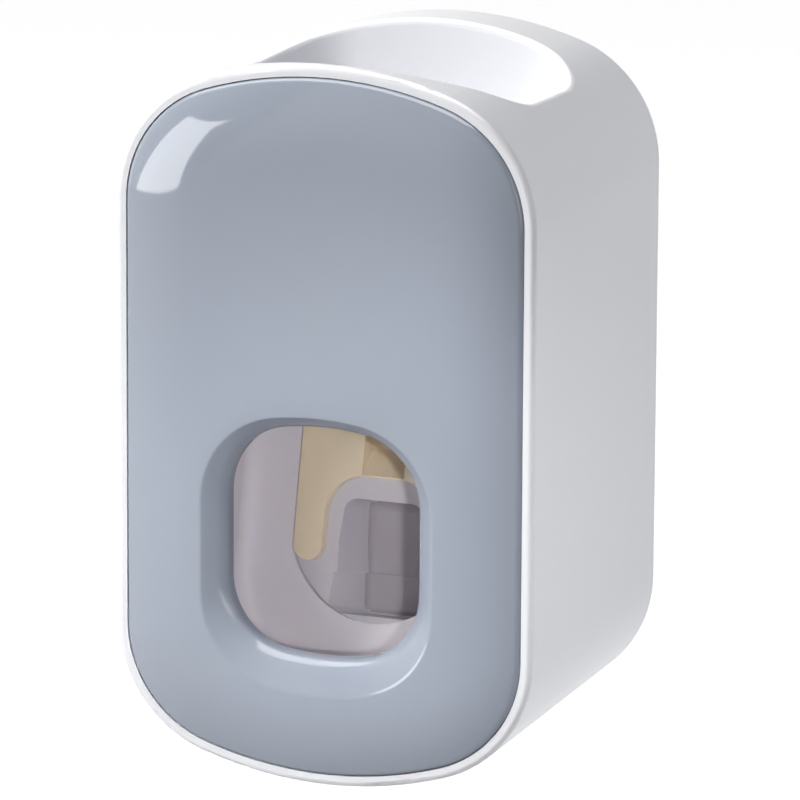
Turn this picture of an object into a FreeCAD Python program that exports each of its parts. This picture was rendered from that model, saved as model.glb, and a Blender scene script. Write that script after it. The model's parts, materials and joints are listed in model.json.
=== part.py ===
import FreeCAD, Part
import math
import os
import Sketcher
from types import SimpleNamespace

# Wall-hung toothpaste dispenser. Origin: centre of the pad's face on the wall.
# X to the right, Y into the wall, Z up, millimetres.
# Front-to-back places are written as distances out from the wall, which is
# the direction -Y, and depths named "...Depth" are counted from the front rim.

sizes = {
    # housing outline: straight sides, arched top and bottom, round corners
    "reach": 74.0, "wallGap": 0.4, "halfWidth": 43.6, "halfHeight": 71.5,
    "archRadius": 81.4, "cornerRadius": 26.35, "backInset": 1.3,
    "shellWall": 2.25, "rimFillet": 1.2, "backFillet": 0.8,
    "ledgeThick": 1.6, "ledgeWidth": 1.9,
    # top opening for the tube and the collar that lines it
    "openingSide": 11.4, "openingFrontDepth": 3.8, "openingBehind": 13.2,
    "openingFillet": 1.3, "collarWall": 1.5, "collarBottom": 50.0,
    # inside rails for the deck and bosses for the rear cover
    "railBottom": 4.0, "railWidth": 8.6, "railFrontDepth": 16.0, "railBehind": 14.0,
    "bossSide": 6.8, "bossZ": 38.0, "bossRadius": 4.3, "bossLength": 12.0,
    # front panel and its window
    "panelInset": 2.7, "panelThick": 2.0, "panelProud": 0.2, "panelSeatWidth": 3.4,
    "domeWidth": 16.4, "domeRise": 3.6,
    "windowHalfWidth": 24.2, "windowTop": 3.1, "windowBottom": -52.6,
    "windowArc": 60.0, "windowCorner": 18.0,
    "lipHalfWidth": 20.35, "lipTop": 0.5, "lipBottom": -47.0, "lipArc": 56.0,
    "lipCorner": 14.5, "flareDepth": 2.9, "lipWall": 1.5, "lipDepth": 3.8,
    # tub behind the window
    "linerHalfWidth": 28.8, "linerWall": 1.5, "linerFloor": -54.0,
    "linerFrontWall": 1.5, "linerHeel": 13.0, "linerCorner": 17.0,
    "linerSetBack": 0.4, "gateGap": 0.4, "gateRadius": 19.1, "gateRoundLevel": -26.0,
    "pinGateHalfWidth": 26.5, "pinGateLevel": -6.3,
    # push lever, drawn hanging straight down from its pivot and then tilted
    "pivotDepth": 38.5, "pivotLevel": -1.0, "leverTilt": 13.0,
    "leverHalfWidth": 17.8, "leverFace": 3.2, "leverThick": 2.2,
    "leverBlockBottom": 15.0, "leverBlockTop": 2.4, "leverBack": 2.9, "leverLegEnd": 34.6,
    "archTop": 17.0, "archHalfWidth": 11.7, "archCorner": 8.0,
    "grooveHalfWidth": 4.5, "grooveBottom": 16.7, "grooveFoot": 11.4, "grooveTop": 5.0,
    "grooveDeep": 5.0, "armHalfWidth": 3.0, "armReach": 10.5, "armTipRadius": 2.0,
    "armThick": 2.8,
    # pivot pin and its clip
    "pinRadius": 1.5, "pinHalfLength": 24.0, "pinHeadRadius": 2.4, "pinHeadThick": 1.2,
    "clipRadius": 3.0, "clipThick": 0.6,
    # brush paddle behind the lever, with the pocket that takes the brush head
    "paddleThick": 1.6, "paddleHalfWidth": 20.7, "paddleRoundLevel": 27.0,
    "pocketTop": 21.6, "pocketTopHalf": 8.2, "pocketBottom": 46.0, "pocketBottomHalf": 10.2,
    "pocketBackTopHalf": 6.9, "pocketBackBottomHalf": 5.5, "pocketBack": 9.5,
    "pocketWall": 1.4, "pocketRidgeLevel": 36.5, "pocketRidge": 0.7,
    "paddleScrewX": 14.75, "paddleScrewUpper": 20.5, "paddleScrewLower": 30.0,
    "paddleScrewLength": 3.0,
    # deck that carries the works, with two ears for the pivot pin
    "deckLevel": 10.0, "deckThick": 2.5, "deckSide": 5.0,
    "deckFrontDepth": 12.0, "deckBehind": 10.6, "deckCorner": 6.0,
    "earX": 21.0, "earThick": 2.4, "earRadius": 4.2, "frameScrewSide": 6.6,
    "frameScrewInset": 5.0, "frameScrewLength": 6.5,
    # pump body
    "nozzleDepth": 26.0, "pumpHalfWidth": 15.0, "pumpFrontDepth": 14.0,
    "pumpBackDepth": 40.0, "pumpTop": 30.0, "pumpCorner": 3.0,
    "chamberDepth": 49.0, "chamberRadius": 9.0, "chamberHeight": 5.0,
    "chamberOuter": 13.0, "chamberRoof": 2.5, "chamberScrewRing": 11.0, "ductRadius": 2.2,
    "flowRadius": 3.0, "valveRadius": 6.0, "valveSeat": 3.0,
    "spigotRadius": 7.0, "spigotDrop": 2.0,
    "pumpScrewX": 11.5, "pumpScrewDepth": 17.5, "pumpScrewLength": 10.0,
    # diaphragm with its ring, plunger and spring
    "ringThick": 2.0, "ringInner": 8.0, "membraneThick": 1.2,
    "domeRadius": 6.5, "domeThick": 0.8,
    "plungerRadius": 5.0, "footRadius": 7.4, "footThick": 1.5,
    "springWire": 0.35, "springRadius": 6.3,
    # nozzle with its collar
    "nozzleRadius": 4.5, "nozzleBore": 3.0, "nozzleShoulder": 1.5, "nozzleTip": -3.6,
    "nozzleTipRadius": 3.2, "nozzleMouth": 1.6, "nozzleFlange": 1.2,
    "capWall": 1.6, "capFloor": 1.3,
    # tube socket, seal and inlet flap
    "socketFlange": 2.2, "socketHalfDepth": 11.5, "socketRadius": 10.4, "socketBore": 8.9,
    "socketFloor": 1.3, "socketTop": 47.0, "socketScrewX": 12.7, "socketScrewHead": 1.9,
    "socketScrewLength": 7.0, "socketRingInner": 5.0, "socketEntry": 6.0,
    "sealBore": 6.4, "sealRelief": 7.4, "reliefHeight": 1.5, "sealLip": 1.2, "sealLipRadius": 10.2,
    "flapThick": 1.0, "flapRadius": 3.7, "flapSlot": 0.6, "flapHingeHalf": 1.2,
    "flapRoom": 2.5, "flapRoomRadius": 4.3, "seatThick": 1.0,
    # chute between the collar and the socket, on four legs
    "chuteWall": 1.4, "chuteLap": 4.0, "chuteFoot": 34.2, "chuteFootHalf": 15.5,
    "chuteFootFront": 11.5, "chuteFootBack": 41.0, "chuteFootArc": 60.0,
    "chuteFootCorner": 11.0, "legFrontDepth": 17.0, "legBackDepth": 49.5,
    "legHalf": 2.0, "legTop": 46.5,
    # rear cover, bracket and pad
    "coverRecess": 6.0, "coverThick": 2.5, "padHalfWidth": 26.0, "padHalfHeight": 36.0,
    "padThick": 0.8, "padCorner": 4.0, "bracketHalfWidth": 28.0, "bracketHalfHeight": 38.0,
    "bracketThick": 2.0, "hookX": 18.0, "hookHalfWidth": 5.0, "hookLevel": 30.0,
    "hookThick": 3.0, "hookLip": 6.0, "hookLipThick": 2.3,
    # screws
    "screwRadius": 1.2, "screwHeadRadius": 2.3, "screwHead": 1.5,
    "coverScrewLength": 11.0, "smallScrewRadius": 0.8, "smallHeadRadius": 1.7,
    "smallHead": 0.8, "slotHalfWidth": 0.3, "slotDepth": 0.5,
    # clearances and the overrun of cuts, shared
    "fitGap": 0.15, "softGap": 0.3, "runGap": 0.06, "seatGap": 0.1, "overrun": 1.0,
}
springTurns = 3.5
screwSlotShare = 0.75
# how far in from its border, and how high, the panel's dome has risen
domeShares = [(0.0, 0.0), (0.2, 0.42), (0.5, 0.8), (1.0, 1.0)]
# the top opening's arcs and corners, and the place of the chute's legs, over its half-width
backArcShare = 3.57
backCornerShare = 0.543
frontArcShare = 1.242
frontCornerShare = 0.512
legShare = 0.714

doc = FreeCAD.newDocument("ToothpasteDispenser")
sheet = doc.addObject("Spreadsheet::Sheet", "Sizes")
for row, (alias, number) in enumerate(sizes.items(), start=1):
    sheet.set(f"A{row}", alias)
    sheet.set(f"B{row}", str(number))
    sheet.setAlias(f"B{row}", alias)
doc.recompute()


class Size:
    # a length with its number and the sheet formula it comes from
    def __init__(self, number, formula):
        self.number = number
        self.formula = formula

    def join(self, other, sign, number):
        return Size(number, f"({self.formula} {sign} {asSize(other).formula})")

    def __add__(self, other):
        return self.join(other, "+", self.number + asSize(other).number)

    def __sub__(self, other):
        return self.join(other, "-", self.number - asSize(other).number)

    def __mul__(self, factor):
        return self.join(factor, "*", self.number * asSize(factor).number)

    def __truediv__(self, factor):
        return self.join(factor, "/", self.number / asSize(factor).number)

    def __neg__(self):
        return Size(-self.number, f"(0 - {self.formula})")


def asSize(item):
    return item if isinstance(item, Size) else Size(float(item), str(item))


s = SimpleNamespace(**{name: Size(number, f"Sizes.{name}") for name, number in sizes.items()})
zero = Size(0.0, "0")
one = Size(1.0, "1")
parts = []


def bind(item, prop, size):
    item.setExpression(prop, asSize(size).formula)


def newBody(label, several=False):
    body = doc.addObject("PartDesign::Body", label)
    body.Label = label
    body.AllowCompound = several
    parts.append(body)
    return body


def newSketch(body, plane, offset):
    sketch = body.newObject("Sketcher::SketchObject", body.Label + "_sketch")
    for feature in body.Origin.OriginFeatures:
        if feature.Role == plane:
            sketch.AttachmentSupport = [(feature, "")]
    sketch.MapMode = "FlatFace"
    sketch.AttachmentOffset = FreeCAD.Placement(
        FreeCAD.Vector(0, 0, asSize(offset).number), FreeCAD.Rotation())
    bind(sketch, "AttachmentOffset.Base.z", offset)
    return sketch


def hold(sketch, kind, size, *where):
    # a dimension driven by the sheet
    size = asSize(size)
    index = sketch.addConstraint(Sketcher.Constraint(kind, *where, size.number))
    if size.formula != "0":
        sketch.setExpression(f"Constraints[{index}]", size.formula)


def holdPoint(sketch, geometry, point, x, y):
    hold(sketch, "DistanceX", x, -1, 1, geometry, point)
    hold(sketch, "DistanceY", y, -1, 1, geometry, point)


def circle(sketch, x, y, radius):
    x, y, radius = asSize(x), asSize(y), asSize(radius)
    centre = FreeCAD.Vector(x.number, y.number, 0)
    index = sketch.addGeometry(Part.Circle(centre, FreeCAD.Vector(0, 0, 1), radius.number))
    holdPoint(sketch, index, 3, x, y)
    hold(sketch, "Radius", radius, index)


def profile(sketch, corners):
    # closed outline; a corner may add a radius and a turn (1 left, -1 right) for the
    # arc that leads from it to the next corner
    places = [(asSize(item[0]), asSize(item[1])) for item in corners]
    points = [FreeCAD.Vector(x.number, y.number, 0) for x, y in places]
    first = sketch.GeometryCount
    count = len(points)
    for i, item in enumerate(corners):
        here, there = points[i], points[(i + 1) % count]
        if len(item) == 2:
            sketch.addGeometry(Part.LineSegment(here, there))
            continue
        radius, turn = item[2].number, item[3]
        chord = there - here
        rise = math.sqrt(max(radius ** 2 - chord.Length ** 2 / 4, 0))
        aside = FreeCAD.Vector(-chord.y, chord.x, 0).normalize() * turn
        centre = (here + there) / 2 + aside * rise
        start, end = (here, there) if turn > 0 else (there, here)
        angles = [math.atan2(p.y - centre.y, p.x - centre.x) for p in (start, end)]
        if angles[1] < angles[0]:
            angles[1] += 2 * math.pi
        sketch.addGeometry(arc((centre.x, centre.y), radius, *angles))

    def ends(i):
        flipped = len(corners[i]) == 4 and corners[i][3] < 0
        return (2, 1) if flipped else (1, 2)
    for i in range(count):
        after = (i + 1) % count
        sketch.addConstraint(Sketcher.Constraint(
            "Coincident", first + i, ends(i)[1], first + after, ends(after)[0]))
        holdPoint(sketch, first + i, ends(i)[0], *places[i])
    for i, item in enumerate(corners):
        if len(item) == 4:
            hold(sketch, "Radius", item[2], first + i)


def rectangle(sketch, left, right, low, high):
    profile(sketch, [(left, low), (right, low), (right, high), (left, high)])


def arc(centre, radius, start, end):
    ring = Part.Circle(FreeCAD.Vector(*centre, 0), FreeCAD.Vector(0, 0, 1), radius)
    return Part.ArcOfCircle(ring, start, end)


def chain(sketch, pieces):
    # closed loop whose pieces run into each other tangentially
    first = sketch.GeometryCount
    for piece in pieces:
        sketch.addGeometry(piece)
    for i in range(len(pieces)):
        after = first + (i + 1) % len(pieces)
        sketch.addConstraint(Sketcher.Constraint("Tangent", first + i, 2, after, 1))
    return first


def line(x1, y1, x2, y2):
    return Part.LineSegment(FreeCAD.Vector(x1, y1, 0), FreeCAD.Vector(x2, y2, 0))


def roundedRectangle(sketch, left, right, low, high, radius):
    x0, x1, y0, y1, r = [asSize(item).number for item in (left, right, low, high, radius)]
    turn = math.pi / 2
    first = chain(sketch, [
        line(x0 + r, y0, x1 - r, y0), arc((x1 - r, y0 + r), r, 3 * turn, 4 * turn),
        line(x1, y0 + r, x1, y1 - r), arc((x1 - r, y1 - r), r, 0, turn),
        line(x1 - r, y1, x0 + r, y1), arc((x0 + r, y1 - r), r, turn, 2 * turn),
        line(x0, y1 - r, x0, y0 + r), arc((x0 + r, y0 + r), r, 2 * turn, 3 * turn)])
    for level in (0, 4):
        sketch.addConstraint(Sketcher.Constraint("Horizontal", first + level))
    for side in (2, 6):
        sketch.addConstraint(Sketcher.Constraint("Vertical", first + side))
    for corner in (1, 3, 5, 7):
        hold(sketch, "Radius", radius, first + corner)
    hold(sketch, "DistanceY", low, -1, 1, first, 1)
    hold(sketch, "DistanceY", high, -1, 1, first + 4, 1)
    hold(sketch, "DistanceX", right, -1, 1, first + 2, 1)
    hold(sketch, "DistanceX", left, -1, 1, first + 6, 1)


def archedOutline(sketch, form, inset):
    # straight sides, arcs above and below centred on the middle line, round corners
    inset = asSize(inset)
    half = form.half - inset
    turn = math.pi / 2

    def cap(arcRadius, corner, centre, sign):
        outer = (arcRadius - inset).number
        small = (corner - inset).number
        across = half.number - small
        along = math.sqrt((outer - small) ** 2 - across ** 2)
        return outer, small, across, centre.number + sign * along, math.atan2(along, across)

    topCentre = form.top - form.topArc
    lowCentre = form.bottom + form.bottomArc
    outer, small, across, rise, lean = cap(form.topArc, form.topCorner, topCentre, 1)
    low, lowSmall, lowAcross, drop, lowLean = cap(
        form.bottomArc, form.bottomCorner, lowCentre, -1)
    w = half.number
    first = chain(sketch, [
        line(w, drop, w, rise), arc((across, rise), small, 0, lean),
        arc((0, topCentre.number), outer, lean, 2 * turn - lean),
        arc((-across, rise), small, 2 * turn - lean, 2 * turn),
        line(-w, rise, -w, drop),
        arc((-lowAcross, drop), lowSmall, 2 * turn, 2 * turn + lowLean),
        arc((0, lowCentre.number), low, 2 * turn + lowLean, 4 * turn - lowLean),
        arc((lowAcross, drop), lowSmall, 4 * turn - lowLean, 4 * turn)])
    for side in (0, 4):
        sketch.addConstraint(Sketcher.Constraint("Vertical", first + side))
    hold(sketch, "DistanceX", half, -1, 1, first, 1)
    hold(sketch, "DistanceX", -half, -1, 1, first + 4, 1)
    radii = {1: form.topCorner, 2: form.topArc, 3: form.topCorner,
             5: form.bottomCorner, 6: form.bottomArc, 7: form.bottomCorner}
    for index, radius in radii.items():
        hold(sketch, "Radius", radius - inset, first + index)
    for index, centre in ((2, topCentre), (6, lowCentre)):
        sketch.addConstraint(Sketcher.Constraint("PointOnObject", first + index, 3, -2))
        hold(sketch, "DistanceY", centre, -1, 1, first + index, 3)


def outline(half, top, bottom, topArc, topCorner, bottomArc, bottomCorner):
    return SimpleNamespace(half=half, top=top, bottom=bottom, topArc=topArc,
                           topCorner=topCorner, bottomArc=bottomArc, bottomCorner=bottomCorner)


housing = outline(s.halfWidth, s.halfHeight, -s.halfHeight, s.archRadius, s.cornerRadius,
                  s.archRadius, s.cornerRadius)
window = outline(s.windowHalfWidth, s.windowTop, s.windowBottom, s.windowArc, s.windowCorner,
                 s.windowArc, s.windowCorner)
lip = outline(s.lipHalfWidth, s.lipTop, s.lipBottom, s.lipArc, s.lipCorner, s.lipArc, s.lipCorner)
# the top opening is drawn from above: its "top" is the side towards the wall
openingHalf = s.halfWidth - s.openingSide
opening = outline(openingHalf, -s.openingBehind, s.openingFrontDepth - s.reach,
                  openingHalf * backArcShare, openingHalf * backCornerShare,
                  openingHalf * frontArcShare, openingHalf * frontCornerShare)
chuteFoot = outline(s.chuteFootHalf, s.chuteFootBack - s.reach, s.chuteFootFront - s.reach,
                    s.chuteFootArc, s.chuteFootCorner, s.chuteFootArc, s.chuteFootCorner)


def extrude(body, kind, plane, start, length, draw, backwards=False):
    sketch = newSketch(body, plane, start)
    draw(sketch)
    feature = body.newObject("PartDesign::" + kind, body.Label + "_" + kind)
    feature.Profile = sketch
    feature.Length = asSize(length).number
    bind(feature, "Length", length)
    feature.Reversed = backwards
    doc.recompute()
    return feature


def pad(body, plane, start, end, draw):
    # from start towards end, along the way the plane faces
    return extrude(body, "Pad", plane, start, end - start, draw)


def cut(body, plane, start, end, draw):
    # takes away what lies between start and end, which is further along the way it faces
    before = body.Shape.Volume
    feature = extrude(body, "Pocket", plane, start, end - start, draw, backwards=True)
    if not body.Shape.Volume < before:
        raise RuntimeError(f"{body.Label}: a cut at {start.formula} removed nothing")
    return feature


def loft(body, kind, plane, sections, ruled=True):
    sketches = []
    for offset, draw in sections:
        sketch = newSketch(body, plane, offset)
        draw(sketch)
        sketches.append(sketch)
    feature = body.newObject("PartDesign::" + kind, body.Label + "_" + kind)
    feature.Profile = sketches[0]
    feature.Sections = sketches[1:]
    feature.Ruled = ruled
    doc.recompute()
    return feature


def flatFace(shape, axis, level):
    # the largest face that lies flat at a level across the axis
    flat = [face for face in shape.Faces
            if near(getattr(face.BoundBox, axis + "Min"), level)
            and near(getattr(face.BoundBox, axis + "Max"), level)]
    return max(flat, key=lambda face: face.Area)


def roundEdges(body, radius, edges):
    base = body.Tip
    names = [f"Edge{i + 1}" for i, edge in enumerate(base.Shape.Edges)
             if any(alike(edge, other) for other in edges)]
    feature = body.newObject("PartDesign::Fillet", body.Label + "_Fillet")
    feature.Base = (base, names)
    feature.Radius = radius.number
    bind(feature, "Radius", radius)
    doc.recompute()
    return feature


def near(a, b):
    return abs(a - b) < s.seatGap.number / 2


def alike(edge, other):
    return near(edge.Length, other.Length) and near(
        (edge.CenterOfMass - other.CenterOfMass).Length, 0)


def helper(label):
    # a body that only shapes another one and isn't a piece itself
    body = newBody(label)
    parts.remove(body)
    return body


def hollowedBody(label, block, space):
    # starts a piece from a block less the space that another body fills
    blank = doc.addObject("Part::Cut", label + "_blank")
    blank.Base = block
    blank.Tool = space
    doc.recompute()
    body = newBody(label)
    body.BaseFeature = blank
    doc.recompute()
    return body


def discs(points, radius):
    def draw(sketch):
        for x, y in points:
            circle(sketch, x, y, radius)
    return draw


def screws(label, plane, start, points, length, kind, towards=1):
    # heads stand on the plane at start and shanks run on from it
    body = newBody(label, several=True)
    head, headRadius, radius = kind.head, kind.headRadius, kind.radius
    bite = head / 2

    def slots(sketch):
        reach = headRadius * screwSlotShare
        for x, y in points:
            rectangle(sketch, x - reach, x + reach, y - s.slotHalfWidth, y + s.slotHalfWidth)
    if towards > 0:
        pad(body, plane, start - head, start, discs(points, headRadius))
        pad(body, plane, start - bite, start + length, discs(points, radius))
        cut(body, plane, start - head, start - head + s.slotDepth, slots)
    else:
        pad(body, plane, start, start + head, discs(points, headRadius))
        pad(body, plane, start - length, start + bite, discs(points, radius))
        cut(body, plane, start + head - s.slotDepth, start + head, slots)
    return body


def mirrored(*points):
    return [(x * side, y) for x, y in points for side in (one, -one)]


# distances out from the wall and from the middle that several pieces share
panelFace = s.reach + s.panelProud
panelBack = panelFace - s.panelThick
panelTop = panelFace + s.domeRise
lipEnd = s.reach - s.lipDepth
bossX = s.halfWidth - s.bossSide
railInner = s.halfWidth - s.railWidth
frameScrewX = s.halfWidth - s.frameScrewSide
nozzleOut = s.reach - s.nozzleDepth
chamberOut = s.reach - s.chamberDepth
pivotOut = s.reach - s.pivotDepth
coverBack = s.wallGap + s.coverRecess
coverFront = coverBack + s.coverThick

# levels that stack up on the deck
deckTop = s.deckLevel + s.deckThick
ringTop = deckTop + s.ringThick
chamberFloor = ringTop + s.membraneThick
chamberTop = chamberFloor + s.chamberHeight
spigotEnd = s.deckLevel - s.spigotDrop
footLevel = s.pivotLevel + s.armTipRadius + s.seatGap
valveFloor = s.pumpTop - s.valveSeat
seatTop = valveFloor + s.flapThick + s.seatThick

# slopes of the tilted plate
lean = math.radians(s.leverTilt.number)
slope = Size(math.tan(lean), "tan(Sizes.leverTilt * 1deg)")
acrossTilt = Size(math.cos(lean), "cos(Sizes.leverTilt * 1deg)")
alongTilt = Size(math.sin(lean), "sin(Sizes.leverTilt * 1deg)")

# hole sizes for the screws, a hair wider than their shanks
screwHole = s.screwRadius + s.runGap
smallHole = s.smallScrewRadius + s.runGap
bigScrew = SimpleNamespace(head=s.screwHead, headRadius=s.screwHeadRadius, radius=s.screwRadius)
flangeScrew = SimpleNamespace(head=s.screwHead, headRadius=s.socketScrewHead,
                              radius=s.screwRadius)
smallScrew = SimpleNamespace(head=s.smallHead, headRadius=s.smallHeadRadius,
                             radius=s.smallScrewRadius)

coverScrewPoints = mirrored((bossX, s.bossZ), (bossX, -s.bossZ))
frameScrewPoints = mirrored(
    (frameScrewX, s.railFrontDepth + s.frameScrewInset - s.reach),
    (frameScrewX, -s.railBehind - s.frameScrewInset))
ringStep = s.chamberScrewRing * math.sqrt(0.5)
ringScrewPoints = mirrored((ringStep, -chamberOut + ringStep), (ringStep, -chamberOut - ringStep))
blockScrewPoints = mirrored((s.pumpScrewX, s.pumpScrewDepth - s.reach))
pumpScrewPoints = ringScrewPoints + blockScrewPoints
socketScrewPoints = mirrored((s.socketScrewX, -nozzleOut))
paddleScrewPoints = mirrored((s.paddleScrewX, -s.paddleScrewUpper),
                             (s.paddleScrewX, -s.paddleScrewLower))


def makeHollow():
    # the space inside the housing, less what stands out from its walls
    body = helper("housing_hollow")
    front, back = s.reach + s.overrun, s.wallGap - s.overrun
    draft = s.backInset / (s.reach - s.wallGap) * s.overrun
    loft(body, "AdditiveLoft", "XZ_Plane", [
        (front, lambda sketch: archedOutline(sketch, housing, s.shellWall - draft)),
        (back, lambda sketch: archedOutline(sketch, housing, s.shellWall + s.backInset + draft))])

    # ledge that the front panel sits on
    def ledge(sketch):
        archedOutline(sketch, housing, s.shellWall / 2)
        archedOutline(sketch, housing, s.shellWall + s.ledgeWidth)
    cut(body, "XZ_Plane", panelBack - s.ledgeThick, panelBack, ledge)
    cut(body, "XY_Plane", s.collarBottom, s.halfHeight,
        lambda sketch: archedOutline(sketch, opening, -s.collarWall))
    cut(body, "XZ_Plane", coverFront, coverFront + s.bossLength,
        discs(coverScrewPoints, s.bossRadius))
    for side in (one, -one):
        cut(body, "XZ_Plane", s.railBehind, s.reach - s.railFrontDepth,
            lambda sketch: rectangle(sketch, railInner * side, s.halfWidth * side,
                                     s.railBottom, s.deckLevel))
    return body


def makeShell():
    block = helper("housing_block")
    loft(block, "AdditiveLoft", "XZ_Plane", [
        (s.reach, lambda sketch: archedOutline(sketch, housing, zero)),
        (s.wallGap, lambda sketch: archedOutline(sketch, housing, s.backInset))])
    body = hollowedBody("outer_shell", block, makeHollow())
    rim = flatFace(body.Shape, "Y", -s.reach.number)
    roundEdges(body, s.rimFillet, rim.OuterWire.Edges)
    back = flatFace(body.Shape, "Y", -s.wallGap.number)
    roundEdges(body, s.backFillet, back.OuterWire.Edges)
    cut(body, "XY_Plane", s.collarBottom - s.overrun, s.halfHeight + s.overrun,
        lambda sketch: archedOutline(sketch, opening, zero))
    cut(body, "XZ_Plane", coverFront, coverFront + s.bossLength - s.overrun,
        discs(coverScrewPoints, screwHole))
    cut(body, "XY_Plane", s.railBottom - s.overrun, s.deckLevel,
        discs(frameScrewPoints, screwHole))
    crown = [edge for edge in body.Shape.Edges if onOpeningRim(edge)]
    roundEdges(body, s.openingFillet, crown)
    return body


def onOpeningRim(edge):
    # edges where the opening's wall meets the outside of the crown
    middle = edge.valueAt(edge.getParameterByLength(edge.Length / 2))
    high = middle.z > crownLevel(middle) - s.shellWall.number / 2
    inside = abs(middle.x) < opening.half.number + s.seatGap.number
    behind = -middle.y < s.reach.number - s.openingFrontDepth.number + s.seatGap.number
    ahead = -middle.y > s.openingBehind.number - s.seatGap.number
    return high and inside and behind and ahead


def crownLevel(point):
    # height of the crown over a point, with the draft towards the back
    inset = s.backInset.number * (s.reach.number + point.y) / (s.reach - s.wallGap).number
    across = abs(point.x)
    arch, corner = s.archRadius.number, s.cornerRadius.number
    centre = s.halfHeight.number - arch
    cornerX = s.halfWidth.number - corner
    cornerZ = centre + math.sqrt((arch - corner) ** 2 - cornerX ** 2)
    split = arch * math.sin(math.atan2(cornerX, cornerZ - centre))
    if across < split:
        return centre + math.sqrt((arch - inset) ** 2 - across ** 2)
    return cornerZ + math.sqrt(max((corner - inset) ** 2 - (across - cornerX) ** 2, 0))


def makePanel():
    # domed plate with a rim that sits on the housing's ledge
    body = newBody("front_panel")
    pad(body, "XZ_Plane", panelBack, panelFace,
        lambda sketch: archedOutline(sketch, housing, s.panelInset))
    loft(body, "AdditiveLoft", "XZ_Plane", dome(s.panelInset, panelFace), ruled=False)
    loft(body, "SubtractiveLoft", "XZ_Plane",
         dome(s.panelInset + s.panelSeatWidth, panelBack), ruled=False)
    # collar round the window, then the window with its flare
    pad(body, "XZ_Plane", panelTop - s.flareDepth - s.lipWall, panelTop - s.panelThick / 2,
        lambda sketch: archedOutline(sketch, window, zero))
    pad(body, "XZ_Plane", lipEnd, panelTop - s.flareDepth,
        lambda sketch: archedOutline(sketch, lip, -s.lipWall))
    cut(body, "XZ_Plane", lipEnd - s.overrun, panelTop + s.overrun,
        lambda sketch: archedOutline(sketch, lip, zero))
    loft(body, "SubtractiveLoft", "XZ_Plane", [
        (panelTop - s.flareDepth, lambda sketch: archedOutline(sketch, lip, zero)),
        (panelTop, lambda sketch: archedOutline(sketch, window, zero))])
    return body


def dome(inset, level):
    return [(level + s.domeRise * high,
             lambda sketch, far=far: archedOutline(sketch, housing, inset + s.domeWidth * far))
            for far, high in domeShares]


def plateY(level, out):
    # global Y of the plane that lies in front of the tilted pivot plane
    return (level - s.pivotLevel) * slope - pivotOut - out / acrossTilt


def tub(body, grow, front, top):
    # rounded block cut off behind along the tilted plate, with a round heel
    side = s.linerHalfWidth + grow
    floor = s.linerFloor - grow
    out = s.leverFace - s.linerSetBack - grow
    behind = -(pivotOut - s.armReach * 2)
    pad(body, "XZ_Plane", -behind, front, lambda sketch: rectangle(
        sketch, -side, side, floor, top))
    corner = s.linerCorner + grow
    lower = [edge for edge in body.Shape.Edges
             if near(edge.BoundBox.ZMax, floor.number) and near(edge.BoundBox.XLength, 0)]
    roundEdges(body, corner, lower)
    heel = s.linerHeel + grow
    reachOfHeel = heel * Size(math.tan(math.radians(90 - s.leverTilt.number) / 2),
                              "tan((90deg - Sizes.leverTilt * 1deg) / 2)")
    kneeY = plateY(floor, out)
    under = floor - s.overrun
    above = top + s.overrun
    end = behind + s.overrun
    extrude(body, "Pocket", "YZ_Plane", -side - s.overrun, (side + s.overrun) * 2,
            lambda sketch: profile(sketch, [
                (kneeY - reachOfHeel, floor, heel, 1),
                (kneeY + reachOfHeel * alongTilt, floor + reachOfHeel * acrossTilt),
                (plateY(above, out), above),
                (end, above), (end, under), (kneeY - reachOfHeel, under)]), backwards=True)


def makeLiner():
    top = s.deckLevel
    hollow = helper("liner_hollow")
    tub(hollow, zero, lipEnd, top + s.overrun)
    block = helper("liner_block")
    tub(block, s.linerWall, lipEnd + s.linerFrontWall, top)
    body = hollowedBody("window_liner", block, hollow)
    cut(body, "XZ_Plane", lipEnd - s.overrun, lipEnd + s.linerFrontWall + s.overrun,
        lambda sketch: archedOutline(sketch, lip, -s.lipWall - s.fitGap))
    # ways through the slanting back wall for the lever, and for its pin higher up
    behind = pivotOut - s.armReach
    ahead = pivotOut + s.armReach * 2
    half, low, bendRadius = s.leverHalfWidth + s.gateGap, s.gateRoundLevel, s.gateRadius
    bend = low - Size(math.sqrt(bendRadius.number ** 2 - half.number ** 2),
                      f"sqrt(({bendRadius.formula}) ^ 2 - ({half.formula}) ^ 2)")
    cut(body, "XZ_Plane", behind, ahead, lambda sketch: profile(sketch, [
        (-half, top + s.overrun), (-half, bend, bendRadius, 1), (zero, low - bendRadius, bendRadius, 1),
        (half, bend), (half, top + s.overrun)]))
    pinHalf = s.pinGateHalfWidth
    cut(body, "XZ_Plane", behind, ahead - s.armReach, lambda sketch: rectangle(
        sketch, -pinHalf, pinHalf, s.pinGateLevel, top + s.overrun))
    return body


def hang(body):
    # moves a piece drawn hanging from zero to the pivot and tilts it
    body.Placement = FreeCAD.Placement(
        FreeCAD.Vector(0, -pivotOut.number, s.pivotLevel.number),
        FreeCAD.Rotation(FreeCAD.Vector(1, 0, 0), -s.leverTilt.number))
    bind(body, "Placement.Base.y", -pivotOut)
    bind(body, "Placement.Base.z", s.pivotLevel)
    bind(body, "Placement.Rotation.Angle", -s.leverTilt)
    doc.recompute()


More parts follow.
